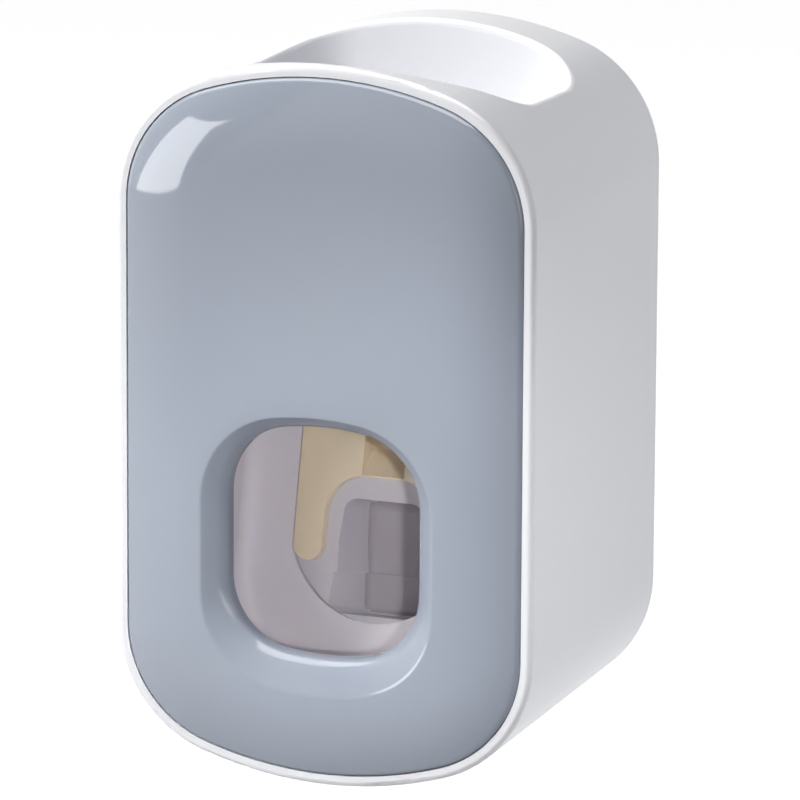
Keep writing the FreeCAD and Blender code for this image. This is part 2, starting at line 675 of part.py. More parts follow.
def makeLever():
    body = newBody("push_lever")
    face, plateBack = s.leverFace, s.leverFace - s.leverThick
    w, inner, corner = s.leverHalfWidth, s.archHalfWidth, s.archCorner
    legRadius = (w - inner) / 2
    legMiddle = (w + inner) / 2
    legLevel = legRadius - s.leverLegEnd
    arch = -s.archTop
    pad(body, "XZ_Plane", plateBack, face, lambda sketch: profile(sketch, [
        (-w, s.leverBlockTop), (-w, legLevel, legRadius, 1),
        (-legMiddle, -s.leverLegEnd, legRadius, 1), (-inner, legLevel),
        (-inner, arch - corner, corner, -1), (-inner + corner, arch),
        (inner - corner, arch, corner, -1), (inner, arch - corner),
        (inner, legLevel, legRadius, 1), (legMiddle, -s.leverLegEnd, legRadius, 1),
        (w, legLevel), (w, s.leverBlockTop)]))
    pad(body, "XZ_Plane", -s.leverBack, face - s.leverThick / 2, lambda sketch: rectangle(
        sketch, -w, w, -s.leverBlockBottom, s.leverBlockTop))
    # sloping groove in the middle of the cross block
    deep = s.grooveDeep - face
    ahead = -face - s.overrun
    extrude(body, "Pocket", "YZ_Plane", -s.grooveHalfWidth, s.grooveHalfWidth * 2,
            lambda sketch: profile(sketch, [
                (-face, -s.grooveBottom), (deep, -s.grooveFoot), (deep, -s.grooveTop),
                (ahead, -s.grooveTop), (ahead, -s.grooveBottom)]), backwards=True)
    # arm that runs level to the plunger, with a round tip
    half = s.armThick / 2
    tipY, tipZ = s.armReach * acrossTilt, s.armReach * alongTilt
    upY, upZ = -(half * alongTilt), half * acrossTilt
    pad(body, "YZ_Plane", -s.armHalfWidth, s.armHalfWidth, lambda sketch: profile(sketch, [
        (-upY, -upZ), (tipY - upY, tipZ - upZ), (tipY + upY, tipZ + upZ), (upY, upZ)]))
    pad(body, "YZ_Plane", -s.armHalfWidth, s.armHalfWidth,
        discs([(tipY, tipZ)], s.armTipRadius))
    cut(body, "YZ_Plane", -w - s.overrun, w + s.overrun,
        discs([(zero, zero)], s.pinRadius + s.runGap))
    cut(body, "XZ_Plane", plateBack - s.overrun, plateBack - s.paddleThick + s.paddleScrewLength
        + s.seatGap, discs(paddleScrewPoints, smallHole))
    hang(body)
    return body


def makePaddle():
    body = newBody("brush_paddle")
    front = s.leverFace - s.leverThick
    back = front - s.paddleThick
    w, top, low = s.paddleHalfWidth, -s.leverBlockBottom - s.seatGap, -s.paddleRoundLevel
    pad(body, "XZ_Plane", back, front, lambda sketch: profile(sketch, [
        (-w, top), (-w, low, w, 1), (zero, low - w, w, 1), (w, low), (w, top)]))

    def trapezoid(topHalf, bottomHalf, topLevel, bottomLevel):
        return lambda sketch: profile(sketch, [
            (-bottomHalf, -bottomLevel), (bottomHalf, -bottomLevel),
            (topHalf, -topLevel), (-topHalf, -topLevel)])
    wall = s.pocketWall
    loft(body, "AdditiveLoft", "XZ_Plane", [
        (back + s.paddleThick / 2, trapezoid(
            s.pocketTopHalf + wall, s.pocketBottomHalf + wall, s.pocketTop - wall,
            s.pocketBottom)),
        (-s.pocketBack - wall, trapezoid(
            s.pocketBackTopHalf + wall, s.pocketBackBottomHalf + wall, s.pocketTop - wall,
            s.pocketBottom))])
    floor = s.pocketBottom - wall
    loft(body, "SubtractiveLoft", "XZ_Plane", [
        (front, trapezoid(s.pocketTopHalf, s.pocketBottomHalf, s.pocketTop, floor)),
        (-s.pocketBack, trapezoid(
            s.pocketBackTopHalf, s.pocketBackBottomHalf, s.pocketTop, floor))])
    # ridge across the pocket that stops the brush head
    half = s.pocketBackTopHalf
    pad(body, "XZ_Plane", -s.pocketBack - wall / 2, -s.pocketBack + s.pocketRidge,
        lambda sketch: rectangle(sketch, -half, half, -s.pocketRidgeLevel,
                                 -s.pocketRidgeLevel + s.pocketRidge))
    cut(body, "XZ_Plane", back - s.overrun, front + s.overrun,
        discs(paddleScrewPoints, smallHole))
    hang(body)
    return body


def makePaddleScrews():
    back = s.leverFace - s.leverThick - s.paddleThick
    hang(screws("paddle_screws", "XZ_Plane", back, paddleScrewPoints, s.paddleScrewLength,
                smallScrew))


def makePin():
    body = newBody("lever_pin")
    place = [(-pivotOut, s.pivotLevel)]
    pad(body, "YZ_Plane", -s.pinHalfLength, s.pinHalfLength, discs(place, s.pinRadius))
    pad(body, "YZ_Plane", -s.pinHalfLength - s.pinHeadThick, -s.pinHalfLength,
        discs(place, s.pinHeadRadius))
    clip = newBody("pin_clip")
    outside = s.earX + s.earThick / 2 + s.seatGap

    def ring(sketch):
        circle(sketch, -pivotOut, s.pivotLevel, s.clipRadius)
        circle(sketch, -pivotOut, s.pivotLevel, s.pinRadius + s.runGap)
    pad(clip, "YZ_Plane", outside, outside + s.clipThick, ring)


def makeDeck():
    body = newBody("inner_frame")
    w = s.halfWidth - s.deckSide
    pad(body, "XY_Plane", s.deckLevel, deckTop, lambda sketch: roundedRectangle(
        sketch, -w, w, s.deckFrontDepth - s.reach, -s.deckBehind, s.deckCorner))
    for side in (one, -one):
        inner = s.earX * side - s.earThick / 2
        outer = s.earX * side + s.earThick / 2
        pad(body, "YZ_Plane", inner, outer, lambda sketch: rectangle(
            sketch, -pivotOut - s.earRadius, -pivotOut + s.earRadius, s.pivotLevel,
            deckTop - s.deckThick / 2))
        pad(body, "YZ_Plane", inner, outer,
            discs([(-pivotOut, s.pivotLevel)], s.earRadius))
    reach = s.earX + s.earThick
    cut(body, "YZ_Plane", -reach, reach, discs([(-pivotOut, s.pivotLevel)],
                                              s.pinRadius + s.runGap))
    low, high = s.deckLevel - s.overrun, deckTop + s.overrun
    cut(body, "XY_Plane", low, high, discs([(zero, -nozzleOut)], s.spigotRadius + s.fitGap))
    cut(body, "XY_Plane", low, high, discs([(zero, -chamberOut)], s.plungerRadius + s.runGap))
    cut(body, "XY_Plane", low, high, discs(frameScrewPoints + pumpScrewPoints, screwHole))
    return body


def makePump():
    body = newBody("pump_body")
    w = s.pumpHalfWidth
    pad(body, "XY_Plane", deckTop, s.pumpTop, lambda sketch: roundedRectangle(
        sketch, -w, w, s.pumpFrontDepth - s.reach, s.pumpBackDepth - s.reach, s.pumpCorner))
    pad(body, "XY_Plane", chamberFloor, chamberTop + s.chamberRoof,
        discs([(zero, -chamberOut)], s.chamberOuter))
    pad(body, "XY_Plane", spigotEnd, deckTop + s.overrun,
        discs([(zero, -nozzleOut)], s.spigotRadius))
    # room for the diaphragm and its ring where they reach under the block
    room = [(zero, -chamberOut)]
    cut(body, "XY_Plane", deckTop - s.overrun, chamberFloor,
        discs(room, s.chamberOuter + s.fitGap))
    cut(body, "XY_Plane", chamberFloor, chamberTop, discs(room, s.chamberRadius))
    cut(body, "XY_Plane", spigotEnd - s.overrun, s.pumpTop + s.overrun,
        discs([(zero, -nozzleOut)], s.flowRadius))
    cut(body, "XY_Plane", valveFloor, s.pumpTop + s.overrun,
        discs([(zero, -nozzleOut)], s.valveRadius))
    cut(body, "XY_Plane", valveFloor - s.flapRoom, valveFloor + s.flapThick,
        discs([(zero, -nozzleOut)], s.flapRoomRadius))
    cut(body, "XZ_Plane", chamberOut, nozzleOut,
        discs([(zero, chamberFloor + s.chamberHeight / 2)], s.ductRadius))
    cut(body, "XY_Plane", deckTop - s.overrun, s.deckLevel + s.pumpScrewLength + s.seatGap,
        discs(pumpScrewPoints, screwHole))
    cut(body, "XY_Plane", s.pumpTop + s.socketFlange - s.socketScrewLength - s.seatGap,
        s.pumpTop + s.overrun, discs(socketScrewPoints, screwHole))
    return body


def makeDiaphragm():
    centre = [(zero, -chamberOut)]
    ring = newBody("diaphragm_ring")
    pad(ring, "XY_Plane", deckTop, ringTop, discs(centre, s.chamberOuter))
    cut(ring, "XY_Plane", deckTop - s.overrun, ringTop + s.overrun, discs(centre, s.ringInner))
    cut(ring, "XY_Plane", deckTop - s.overrun, ringTop + s.overrun,
        discs(ringScrewPoints, screwHole))
    body = newBody("diaphragm")
    pad(body, "XY_Plane", ringTop, chamberFloor, discs(centre, s.chamberOuter))
    pad(body, "XY_Plane", chamberFloor, chamberFloor + s.domeThick, discs(centre, s.domeRadius))
    cut(body, "XY_Plane", ringTop - s.overrun, chamberFloor + s.domeThick + s.overrun,
        discs(ringScrewPoints, screwHole))


def makePlunger():
    body = newBody("plunger")
    centre = [(zero, -chamberOut)]
    pad(body, "XY_Plane", footLevel, footLevel + s.footThick, discs(centre, s.footRadius))
    pad(body, "XY_Plane", footLevel, ringTop - s.seatGap, discs(centre, s.plungerRadius))
    return body


def biarc(start, startWay, end, endWay):
    # two arcs that join smoothly from one point and direction to another
    span = end - start
    ways = startWay + endWay
    a = ways.dot(ways) - 4
    b = -2 * span.dot(ways)
    c = span.dot(span)
    reach = (-b - math.sqrt(b * b - 4 * a * c)) / (2 * a)
    knees = (start + startWay * reach, end - endWay * reach)
    joint = (knees[0] + knees[1]) / 2
    edges = []
    for here, knee, there in ((start, knees[0], joint), (joint, knees[1], end)):
        middle = (here + there) / 2
        half = (there - here).Length / 2
        bend = math.acos(min(half / reach, 1))
        peak = middle + (knee - middle).normalize() * half * math.tan(bend / 2)
        edges.append(Part.Arc(here, peak, there).toShape())
    return edges


def makeSpring():
    # coil round the plunger, between its foot and the deck
    wire, radius = s.springWire.number, s.springRadius.number
    bottom = (footLevel + s.footThick).number + wire
    top = s.deckLevel.number - wire
    turn = 2 * math.pi
    pitch = (top - bottom) / springTurns
    gap = pitch - 2 * wire
    print("spring gap", round(gap, 3))
    quarters = int(springTurns * 4)

    def place(i):
        angle = turn * i / 4
        return FreeCAD.Vector(radius * math.cos(angle), radius * math.sin(angle),
                              bottom + pitch * i / 4)

    def way(i):
        angle = turn * i / 4
        return FreeCAD.Vector(-radius * math.sin(angle), radius * math.cos(angle),
                              pitch / turn).normalize()
    edges = []
    for i in range(quarters):
        edges += biarc(place(i), way(i), place(i + 1), way(i + 1))
    path = Part.Wire(edges)
    section = Part.Wire(Part.makeCircle(wire, place(0), way(0)))
    tube = path.makePipeShell([section], True, False)
    length = sum(edge.Length for edge in edges)
    print("spring volume over section times length",
          round(tube.Volume / (math.pi * wire ** 2 * length), 4))
    feature = doc.addObject("Part::Feature", "return_spring")
    feature.Label = "return_spring"
    feature.Shape = tube
    feature.Placement = FreeCAD.Placement(
        FreeCAD.Vector(0, -chamberOut.number, 0), FreeCAD.Rotation())
    parts.append(feature)


def makeNozzle():
    centre = [(zero, -nozzleOut)]
    flangeLow = spigotEnd - s.nozzleFlange
    body = newBody("outlet_nozzle")
    pad(body, "XY_Plane", flangeLow, spigotEnd, discs(centre, s.spigotRadius))
    shoulder = s.nozzleShoulder
    pad(body, "XY_Plane", shoulder, flangeLow, discs(centre, s.nozzleRadius))
    loft(body, "AdditiveLoft", "XY_Plane", [
        (shoulder, discs(centre, s.nozzleRadius)),
        (s.nozzleTip, discs(centre, s.nozzleTipRadius))])
    cut(body, "XY_Plane", shoulder, spigotEnd + s.overrun, discs(centre, s.nozzleBore))
    cut(body, "XY_Plane", s.nozzleTip - s.overrun, shoulder + s.overrun,
        discs(centre, s.nozzleMouth))
    cap = newBody("nozzle_collar")
    low = flangeLow - s.capFloor
    inner = s.spigotRadius + s.fitGap
    pad(cap, "XY_Plane", low, s.deckLevel - s.seatGap, discs(centre, inner + s.capWall))
    cut(cap, "XY_Plane", flangeLow, s.deckLevel + s.overrun, discs(centre, inner))
    cut(cap, "XY_Plane", low - s.overrun, s.deckLevel, discs(centre, s.nozzleRadius + s.fitGap))


def makeSocket():
    centre = [(zero, -nozzleOut)]
    flangeTop = s.pumpTop + s.socketFlange
    body = newBody("tube_socket")
    w = s.pumpHalfWidth
    pad(body, "XY_Plane", s.pumpTop, flangeTop, lambda sketch: roundedRectangle(
        sketch, -w, w, -nozzleOut - s.socketHalfDepth, -nozzleOut + s.socketHalfDepth,
        s.pumpCorner))
    pad(body, "XY_Plane", flangeTop - s.seatGap, s.socketTop, discs(centre, s.socketRadius))
    pad(body, "XY_Plane", seatTop, s.pumpTop + s.seatGap,
        discs(centre, s.valveRadius - s.fitGap))
    floor = flangeTop + s.socketFloor
    cut(body, "XY_Plane", floor, s.socketTop + s.overrun, discs(centre, s.socketBore))
    cut(body, "XY_Plane", seatTop - s.overrun, floor, discs(centre, s.socketRingInner))
    cut(body, "XY_Plane", flangeTop, floor + s.overrun, discs(centre, s.socketEntry))
    cut(body, "XY_Plane", s.pumpTop - s.overrun, flangeTop + s.overrun,
        discs(socketScrewPoints, screwHole))
    seal = newBody("tube_seal")
    pad(seal, "XY_Plane", floor, s.socketTop, discs(centre, s.socketBore - s.fitGap))
    pad(seal, "XY_Plane", s.socketTop, s.socketTop + s.sealLip, discs(centre, s.sealLipRadius))
    cut(seal, "XY_Plane", floor - s.overrun, s.socketTop + s.sealLip + s.overrun,
        discs(centre, s.sealBore))
    cut(seal, "XY_Plane", floor - s.overrun, floor + s.reliefHeight,
        discs(centre, s.sealRelief))


def makeInlet():
    # disc with a flap cut free except at its hinge, and the ring that it closes against
    body = newBody("inlet_valve", several=True)
    centre = [(zero, -nozzleOut)]
    top = valveFloor + s.flapThick
    pad(body, "XY_Plane", valveFloor, top, discs(centre, s.valveRadius - s.fitGap))

    def slot(sketch):
        circle(sketch, zero, -nozzleOut, s.flapRadius + s.flapSlot)
        circle(sketch, zero, -nozzleOut, s.flapRadius)
    cut(body, "XY_Plane", valveFloor - s.overrun, top + s.overrun, slot)
    hinge = s.flapHingeHalf
    pad(body, "XY_Plane", valveFloor, top, lambda sketch: rectangle(
        sketch, s.flapRadius - s.flapSlot, s.flapRadius + s.flapSlot * 2,
        -nozzleOut - hinge, -nozzleOut + hinge))
    ring = newBody("valve_seat")
    pad(ring, "XY_Plane", top, seatTop, discs(centre, s.valveRadius - s.fitGap))
    cut(ring, "XY_Plane", top - s.overrun, seatTop + s.overrun, discs(centre, s.flowRadius))


def makeChute():
    body = newBody("tube_chute")
    bend, foot, top = s.collarBottom, s.chuteFoot, s.collarBottom + s.chuteLap
    legX = openingHalf * legShare
    legs = mirrored((legX, s.legFrontDepth - s.reach), (legX, s.legBackDepth - s.reach))
    gap, wall, half = s.fitGap, s.chuteWall, s.legHalf

    def legBlocks(sketch):
        for x, y in legs:
            rectangle(sketch, x - half, x + half, y - half, y + half)
    loft(body, "AdditiveLoft", "XY_Plane", [
        (foot, lambda sketch: archedOutline(sketch, chuteFoot, zero)),
        (bend, lambda sketch: archedOutline(sketch, opening, gap))])
    pad(body, "XY_Plane", bend, top, lambda sketch: archedOutline(sketch, opening, gap))
    pad(body, "XY_Plane", deckTop, s.legTop, legBlocks)
    loft(body, "SubtractiveLoft", "XY_Plane", [
        (foot, lambda sketch: archedOutline(sketch, chuteFoot, wall)),
        (bend, lambda sketch: archedOutline(sketch, opening, gap + wall))])
    cut(body, "XY_Plane", bend, top + s.overrun,
        lambda sketch: archedOutline(sketch, opening, gap + wall))
    return body


def makeCover():
    body = newBody("rear_cover")
    inset = s.shellWall + s.backInset + s.fitGap
    pad(body, "XZ_Plane", coverBack, coverFront,
        lambda sketch: archedOutline(sketch, housing, inset))
    near_, far = coverBack - s.overrun, coverFront + s.overrun
    cut(body, "XZ_Plane", near_, far, discs(coverScrewPoints, screwHole))
    top = s.hookLevel + s.hookThick + s.seatGap
    low = s.hookLevel - s.hookLip - s.softGap
    half = s.hookHalfWidth + s.softGap

    def slots(sketch):
        for side in (one, -one):
            middle = s.hookX * side
            rectangle(sketch, middle - half, middle + half, low, top)
    cut(body, "XZ_Plane", near_, far, slots)
    return body


def makeBracket():
    bond = newBody("adhesive_pad")
    pad(bond, "XZ_Plane", zero, s.padThick, lambda sketch: roundedRectangle(
        sketch, -s.padHalfWidth, s.padHalfWidth, -s.padHalfHeight, s.padHalfHeight,
        s.padCorner))
    body = newBody("wall_bracket")
    face = s.padThick + s.bracketThick
    pad(body, "XZ_Plane", s.padThick, face, lambda sketch: roundedRectangle(
        sketch, -s.bracketHalfWidth, s.bracketHalfWidth, -s.bracketHalfHeight,
        s.bracketHalfHeight, s.padCorner))
    lipBack = coverFront + s.softGap
    lipFront = lipBack + s.hookLipThick
    armTop = s.hookLevel + s.hookThick
    for side in (one, -one):
        left = s.hookX * side - s.hookHalfWidth
        right = s.hookX * side + s.hookHalfWidth
        pad(body, "XZ_Plane", face - s.bracketThick / 2, lipFront,
            lambda sketch: rectangle(sketch, left, right, s.hookLevel, armTop))
        pad(body, "XZ_Plane", lipBack, lipFront,
            lambda sketch: rectangle(sketch, left, right, s.hookLevel, armTop + s.hookLip))
    return body


def finish():
    os.makedirs("parts", exist_ok=True)
    doc.recompute()
    for item in doc.Objects:
        if "Invalid" in item.State or "Error" in item.State:
            raise RuntimeError(f"{item.Label} did not rebuild")
    for part in parts:
        if part.Shape.isNull() or not part.Shape.isValid():
            raise RuntimeError(f"{part.Label} has no sound shape")
    for part in parts:
        part.Shape.exportStep(f"parts/{part.Label}.step")
        print(part.Label, len(part.Shape.Solids), round(part.Shape.Volume, 1))


makeBracket()
makeShell()
makePanel()
makeLiner()
makeCover()
screws("rear_cover_screws", "XZ_Plane", coverBack, coverScrewPoints, s.coverScrewLength, bigScrew)
makeDeck()
screws("frame_screws", "XY_Plane", deckTop, frameScrewPoints, s.frameScrewLength, bigScrew,
       towards=-1)
makePump()
screws("pump_screws", "XY_Plane", s.deckLevel, pumpScrewPoints, s.pumpScrewLength, bigScrew)
makeDiaphragm()
makePlunger()
makeSpring()
makeNozzle()
makeSocket()
screws("socket_screws", "XY_Plane", s.pumpTop + s.socketFlange, socketScrewPoints,
       s.socketScrewLength, flangeScrew, towards=-1)
makeInlet()
makeChute()
makePin()
makeLever()
makePaddle()
makePaddleScrews()
finish()
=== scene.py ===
import bmesh
import bpy
import json
import math
from mathutils import Matrix, Vector


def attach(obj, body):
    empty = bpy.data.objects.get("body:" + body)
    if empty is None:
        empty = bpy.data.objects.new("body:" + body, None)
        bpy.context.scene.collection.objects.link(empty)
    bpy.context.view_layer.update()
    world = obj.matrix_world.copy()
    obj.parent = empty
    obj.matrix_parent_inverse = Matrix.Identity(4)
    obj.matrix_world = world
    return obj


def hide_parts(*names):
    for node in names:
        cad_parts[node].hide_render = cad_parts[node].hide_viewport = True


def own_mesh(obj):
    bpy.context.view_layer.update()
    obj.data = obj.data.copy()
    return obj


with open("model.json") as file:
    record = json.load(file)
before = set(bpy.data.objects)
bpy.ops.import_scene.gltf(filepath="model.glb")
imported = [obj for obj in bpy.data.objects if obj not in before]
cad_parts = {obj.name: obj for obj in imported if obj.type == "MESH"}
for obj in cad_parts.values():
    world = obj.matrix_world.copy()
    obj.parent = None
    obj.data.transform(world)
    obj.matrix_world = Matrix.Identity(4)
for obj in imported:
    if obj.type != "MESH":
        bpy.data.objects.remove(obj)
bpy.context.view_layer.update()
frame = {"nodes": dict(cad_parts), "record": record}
nodes = frame["nodes"]
record = frame["record"]
bodyOf = {node: body for body, members in record["behaviour"]["bodies"].items()
          for node in members}
slotOf = {part["node"]: part["material_slot"] for part in record["subparts"]}
mm = 0.001
print("frame loaded,", len(nodes), "nodes")


# outlines are arched above and below, with straight sides and round corners, in millimetres
def archedOutline(form, inset=0.0, steps=(10, 16, 20)):
    # points in order: right side going up, top, left side going down, bottom
    half = form["half"] - inset
    top, bottom = form["top"] - form["topArc"], form["bottom"] + form["bottomArc"]

    def cap(arcRadius, corner):
        outer, small = arcRadius - inset, corner - inset
        across = half - small
        along = math.sqrt((outer - small) ** 2 - across ** 2)
        return outer, small, across, along, math.atan2(along, across)

    up = cap(form["topArc"], form["topCorner"])
    down = cap(form["bottomArc"], form["bottomCorner"])
    rise, drop = top + up[3], bottom - down[3]
    side, bend, arch = steps

    def straight(x, z1, z2):
        return [(x, z1 + (z2 - z1) * i / side) for i in range(side)]

    turn = math.pi
    return (straight(half, drop, rise)
            + arcPoints(up[2], rise, up[1], 0, up[4], bend)
            + arcPoints(0, top, up[0], up[4], turn - up[4], arch)
            + arcPoints(-up[2], rise, up[1], turn - up[4], turn, bend)
            + straight(-half, rise, drop)
            + arcPoints(-down[2], drop, down[1], turn, turn + down[4], bend)
            + arcPoints(0, bottom, down[0], turn + down[4], 2 * turn - down[4], arch)
            + arcPoints(down[2], drop, down[1], 2 * turn - down[4], 2 * turn, bend))


def arcPoints(cx, cz, radius, start, end, count):
    turns = [start + (end - start) * i / count for i in range(count)]
    return [(cx + radius * math.cos(t), cz + radius * math.sin(t)) for t in turns]


def mixed(first, second, share):
    return [(a[0] + (b[0] - a[0]) * share, a[1] + (b[1] - a[1]) * share)
            for a, b in zip(first, second)]


housingForm = {"half": 43.6, "top": 71.5, "bottom": -71.5, "topArc": 81.4,
               "topCorner": 26.35, "bottomArc": 81.4, "bottomCorner": 26.35}
windowForm = {"half": 24.2, "top": 3.1, "bottom": -52.6, "topArc": 60.0,
              "topCorner": 18.0, "bottomArc": 60.0, "bottomCorner": 18.0}
lipForm = {"half": 20.35, "top": 0.5, "bottom": -47.0, "topArc": 56.0,
           "topCorner": 14.5, "bottomArc": 56.0, "bottomCorner": 14.5}
lipBackForm = {"half": 20.0, "top": 0.3, "bottom": -45.8, "topArc": 56.0,
               "topCorner": 14.2, "bottomArc": 56.0, "bottomCorner": 14.2}


def pickOnly(*objects):
    # selects these and nothing else; the last one is active
    bpy.ops.object.select_all(action="DESELECT")
    for obj in objects:
        obj.select_set(True)
    bpy.context.view_layer.objects.active = objects[-1]


# modelling in edit mode, ring by ring
def startRing(name, points, closed=True):
    # a circle laid on the first outline, cut open where the outline is; stays in edit mode
    bpy.ops.object.select_all(action="DESELECT")
    bpy.ops.mesh.primitive_circle_add(vertices=len(points), radius=0.01)
    obj = bpy.context.active_object
    obj.name = obj.data.name = name
    bpy.ops.object.mode_set(mode="EDIT")
    bpy.ops.mesh.select_mode(type="EDGE")
    bpy.ops.mesh.select_all(action="DESELECT")
    mesh = bmesh.from_edit_mesh(obj.data)
    mesh.verts.ensure_lookup_table()
    for index, place in enumerate(points):
        mesh.verts[index].co = place
    if not closed:
        ends = {0, len(points) - 1}
        for edge in mesh.edges:
            edge.select_set({v.index for v in edge.verts} == ends)
        bmesh.update_edit_mesh(obj.data)
        bpy.ops.mesh.delete(type="EDGE")
    bpy.ops.mesh.select_all(action="SELECT")
    return obj, list(range(len(points)))


def nextRing(obj, ring, points):
    # extrudes the selected ring and lays the new one on its outline
    bpy.ops.mesh.extrude_edges_move()
    mesh = bmesh.from_edit_mesh(obj.data)
    mesh.verts.ensure_lookup_table()
    fresh = []
    for index in ring:
        old = mesh.verts[index]
        fresh += [e.other_vert(old).index for e in old.link_edges if e.other_vert(old).select]
    for index, place in zip(fresh, points):
        mesh.verts[index].co = place
    bmesh.update_edit_mesh(obj.data)
    return fresh


def finishPiece(obj, angle=35):
    bpy.ops.mesh.select_all(action="SELECT")
    bpy.ops.mesh.remove_doubles(threshold=0.000004)
    bpy.ops.mesh.normals_make_consistent(inside=False)
    bpy.ops.mesh.select_all(action="DESELECT")
    bpy.ops.object.mode_set(mode="OBJECT")
    bpy.ops.object.shade_smooth_by_angle(angle=math.radians(angle))
    return obj


def loftRings(name, rings, closed=True, openEnds=False):
    # rings is a list of lists of places; closed joins the last ring to the first
    obj, ring = startRing(name, rings[0], not openEnds)
    for points in rings[1:]:
        ring = nextRing(obj, ring, points)
    if closed:
        nextRing(obj, ring, rings[0])
    return finishPiece(obj)


def dress(obj, node):
    # the piece stands for this node, rides on its body and takes its finish
    obj.data.materials.clear()
    obj.data.materials.append(finishes[slotOf[node]])
    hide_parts(node)
    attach(obj, bodyOf[node])
    return obj


def applyModifier(obj, kind, **settings):
    pickOnly(obj)
    modifier = obj.modifiers.new(kind.lower(), kind)
    for key, value in settings.items():
        setattr(modifier, key, value)
    bpy.ops.object.modifier_apply(modifier=modifier.name)


# finishes
def tone(red, green, blue):
    # display values, 0 to 255, as the shader's linear colour
    return [c / 12.92 if c <= 0.04045 else ((c + 0.055) / 1.055) ** 2.4
            for c in (red / 255, green / 255, blue / 255)]


def newMaterial(name, colour, rough, roughSpread=0.05, toneSpread=0.02, cloudSize=0.03,
                grainSize=0.0005, grain=0.1, stretch=(1, 1, 1), specular=0.5,
                sheen=0.0, subsurface=0.0, metal=0.0, pores=0.0, poreSize=0.0008):
    # cloudy colour, with fine grain in roughness and bump unless grain is 0, and open pores
    # where they are asked for; sizes are in metres
    material = bpy.data.materials.new(name)
    material.use_nodes = True
    tree = material.node_tree
    shader = tree.nodes["Principled BSDF"]
    for socket, value in (("Metallic", metal), ("Specular IOR Level", specular),
                          ("Sheen Weight", sheen), ("Subsurface Weight", subsurface),
                          ("Subsurface Scale", 0.002)):
        shader.inputs[socket].default_value = value
    where = tree.nodes.new("ShaderNodeTexCoord").outputs["Object"]
    along = tree.nodes.new("ShaderNodeMapping")
    along.inputs["Scale"].default_value = stretch
    tree.links.new(where, along.inputs["Vector"])

    def noise(size, detail, place):
        node = tree.nodes.new("ShaderNodeTexNoise")
        node.inputs["Scale"].default_value = 1 / size
        node.inputs["Detail"].default_value = detail
        tree.links.new(place, node.inputs["Vector"])
        return node.outputs["Fac"]

    def ranged(value, low, high):
        node = tree.nodes.new("ShaderNodeMapRange")
        node.inputs["To Min"].default_value = low
        node.inputs["To Max"].default_value = high
        tree.links.new(value, node.inputs["Value"])
        return node.outputs["Result"]

    ramp = tree.nodes.new("ShaderNodeValToRGB")
    first, last = ramp.color_ramp.elements
    first.position, last.position = 0.3, 0.7
    first.color = [c * (1 - toneSpread) for c in colour] + [1]
    last.color = [min(c * (1 + toneSpread), 1) for c in colour] + [1]
    tree.links.new(noise(cloudSize, 3, where), ramp.inputs["Fac"])
    colourOut = ramp.outputs["Color"]
    height = fine = noise(grainSize, 3, along.outputs["Vector"])
    if grain:
        total = tree.nodes.new("ShaderNodeMath")
        total.operation = "ADD"
        wide = noise(cloudSize / 3, 2, where)
        tree.links.new(ranged(fine, -roughSpread, roughSpread), total.inputs[0])
        tree.links.new(ranged(wide, rough - roughSpread, rough + roughSpread), total.inputs[1])
        tree.links.new(total.outputs["Value"], shader.inputs["Roughness"])
    else:
        shader.inputs["Roughness"].default_value = rough
    if pores:
        cells = tree.nodes.new("ShaderNodeTexVoronoi")
        cells.inputs["Scale"].default_value = 1 / poreSize
        tree.links.new(where, cells.inputs["Vector"])
        height = ranged(cells.outputs["Distance"], 0, 1)
        dark = tree.nodes.new("ShaderNodeMix")
        dark.data_type, dark.blend_type = "RGBA", "MULTIPLY"
        dark.inputs["Factor"].default_value = pores
        tree.links.new(colourOut, dark.inputs["A"])
        tree.links.new(ranged(cells.outputs["Distance"], 0.4, 1.1), dark.inputs["B"])
        colourOut = dark.outputs["Result"]
    tree.links.new(colourOut, shader.inputs["Base Color"])
    if grain:
        bump = tree.nodes.new("ShaderNodeBump")
        bump.inputs["Strength"].default_value = grain
        bump.inputs["Distance"].default_value = 0.00005
        tree.links.new(height, bump.inputs["Height"])
        tree.links.new(bump.outputs["Normal"], shader.inputs["Normal"])
    return material


finishes = {
    "shell_white": newMaterial("shellWhite", tone(238, 239, 244), 0.28, toneSpread=0.006,
                               grain=0, specular=0.4),
    "panel_grey": newMaterial("panelGrey", tone(158, 166, 180), 0.06, toneSpread=0.01,
                              grain=0, specular=0.4),
    "smoke_plastic": newMaterial("smokePlastic", tone(215, 211, 218), 0.16, 0.03, 0.015,
                                 grainSize=0.0006, grain=0.04, subsurface=0.05),
    "lever_cream": newMaterial("leverCream", tone(250, 232, 202), 0.3, 0.05, 0.02,
                               grainSize=0.0004, grain=0.15),
    "inner_white": newMaterial("innerWhite", tone(226, 227, 231), 0.42, 0.06, 0.012,
                               grainSize=0.0003, grain=0.25),
    "bracket_white": newMaterial("bracketWhite", tone(229, 230, 233), 0.45, 0.06, 0.012,
                                 grainSize=0.0003, grain=0.3),
    "adhesive_foam": newMaterial("adhesiveFoam", tone(214, 215, 214), 0.85, 0.08, 0.04,
                                 cloudSize=0.008, grain=0.9, pores=0.5, poreSize=0.0006),
    "soft_seal": newMaterial("softSeal", tone(205, 207, 210), 0.5, 0.06, 0.02,
                             grainSize=0.0003, grain=0.3, sheen=0.2, subsurface=0.15),
    "steel": newMaterial("steel", tone(190, 190, 193), 0.28, 0.08, 0.03, grainSize=0.0002,
                         grain=0.15, stretch=(1, 1, 0.12), metal=1.0),
}
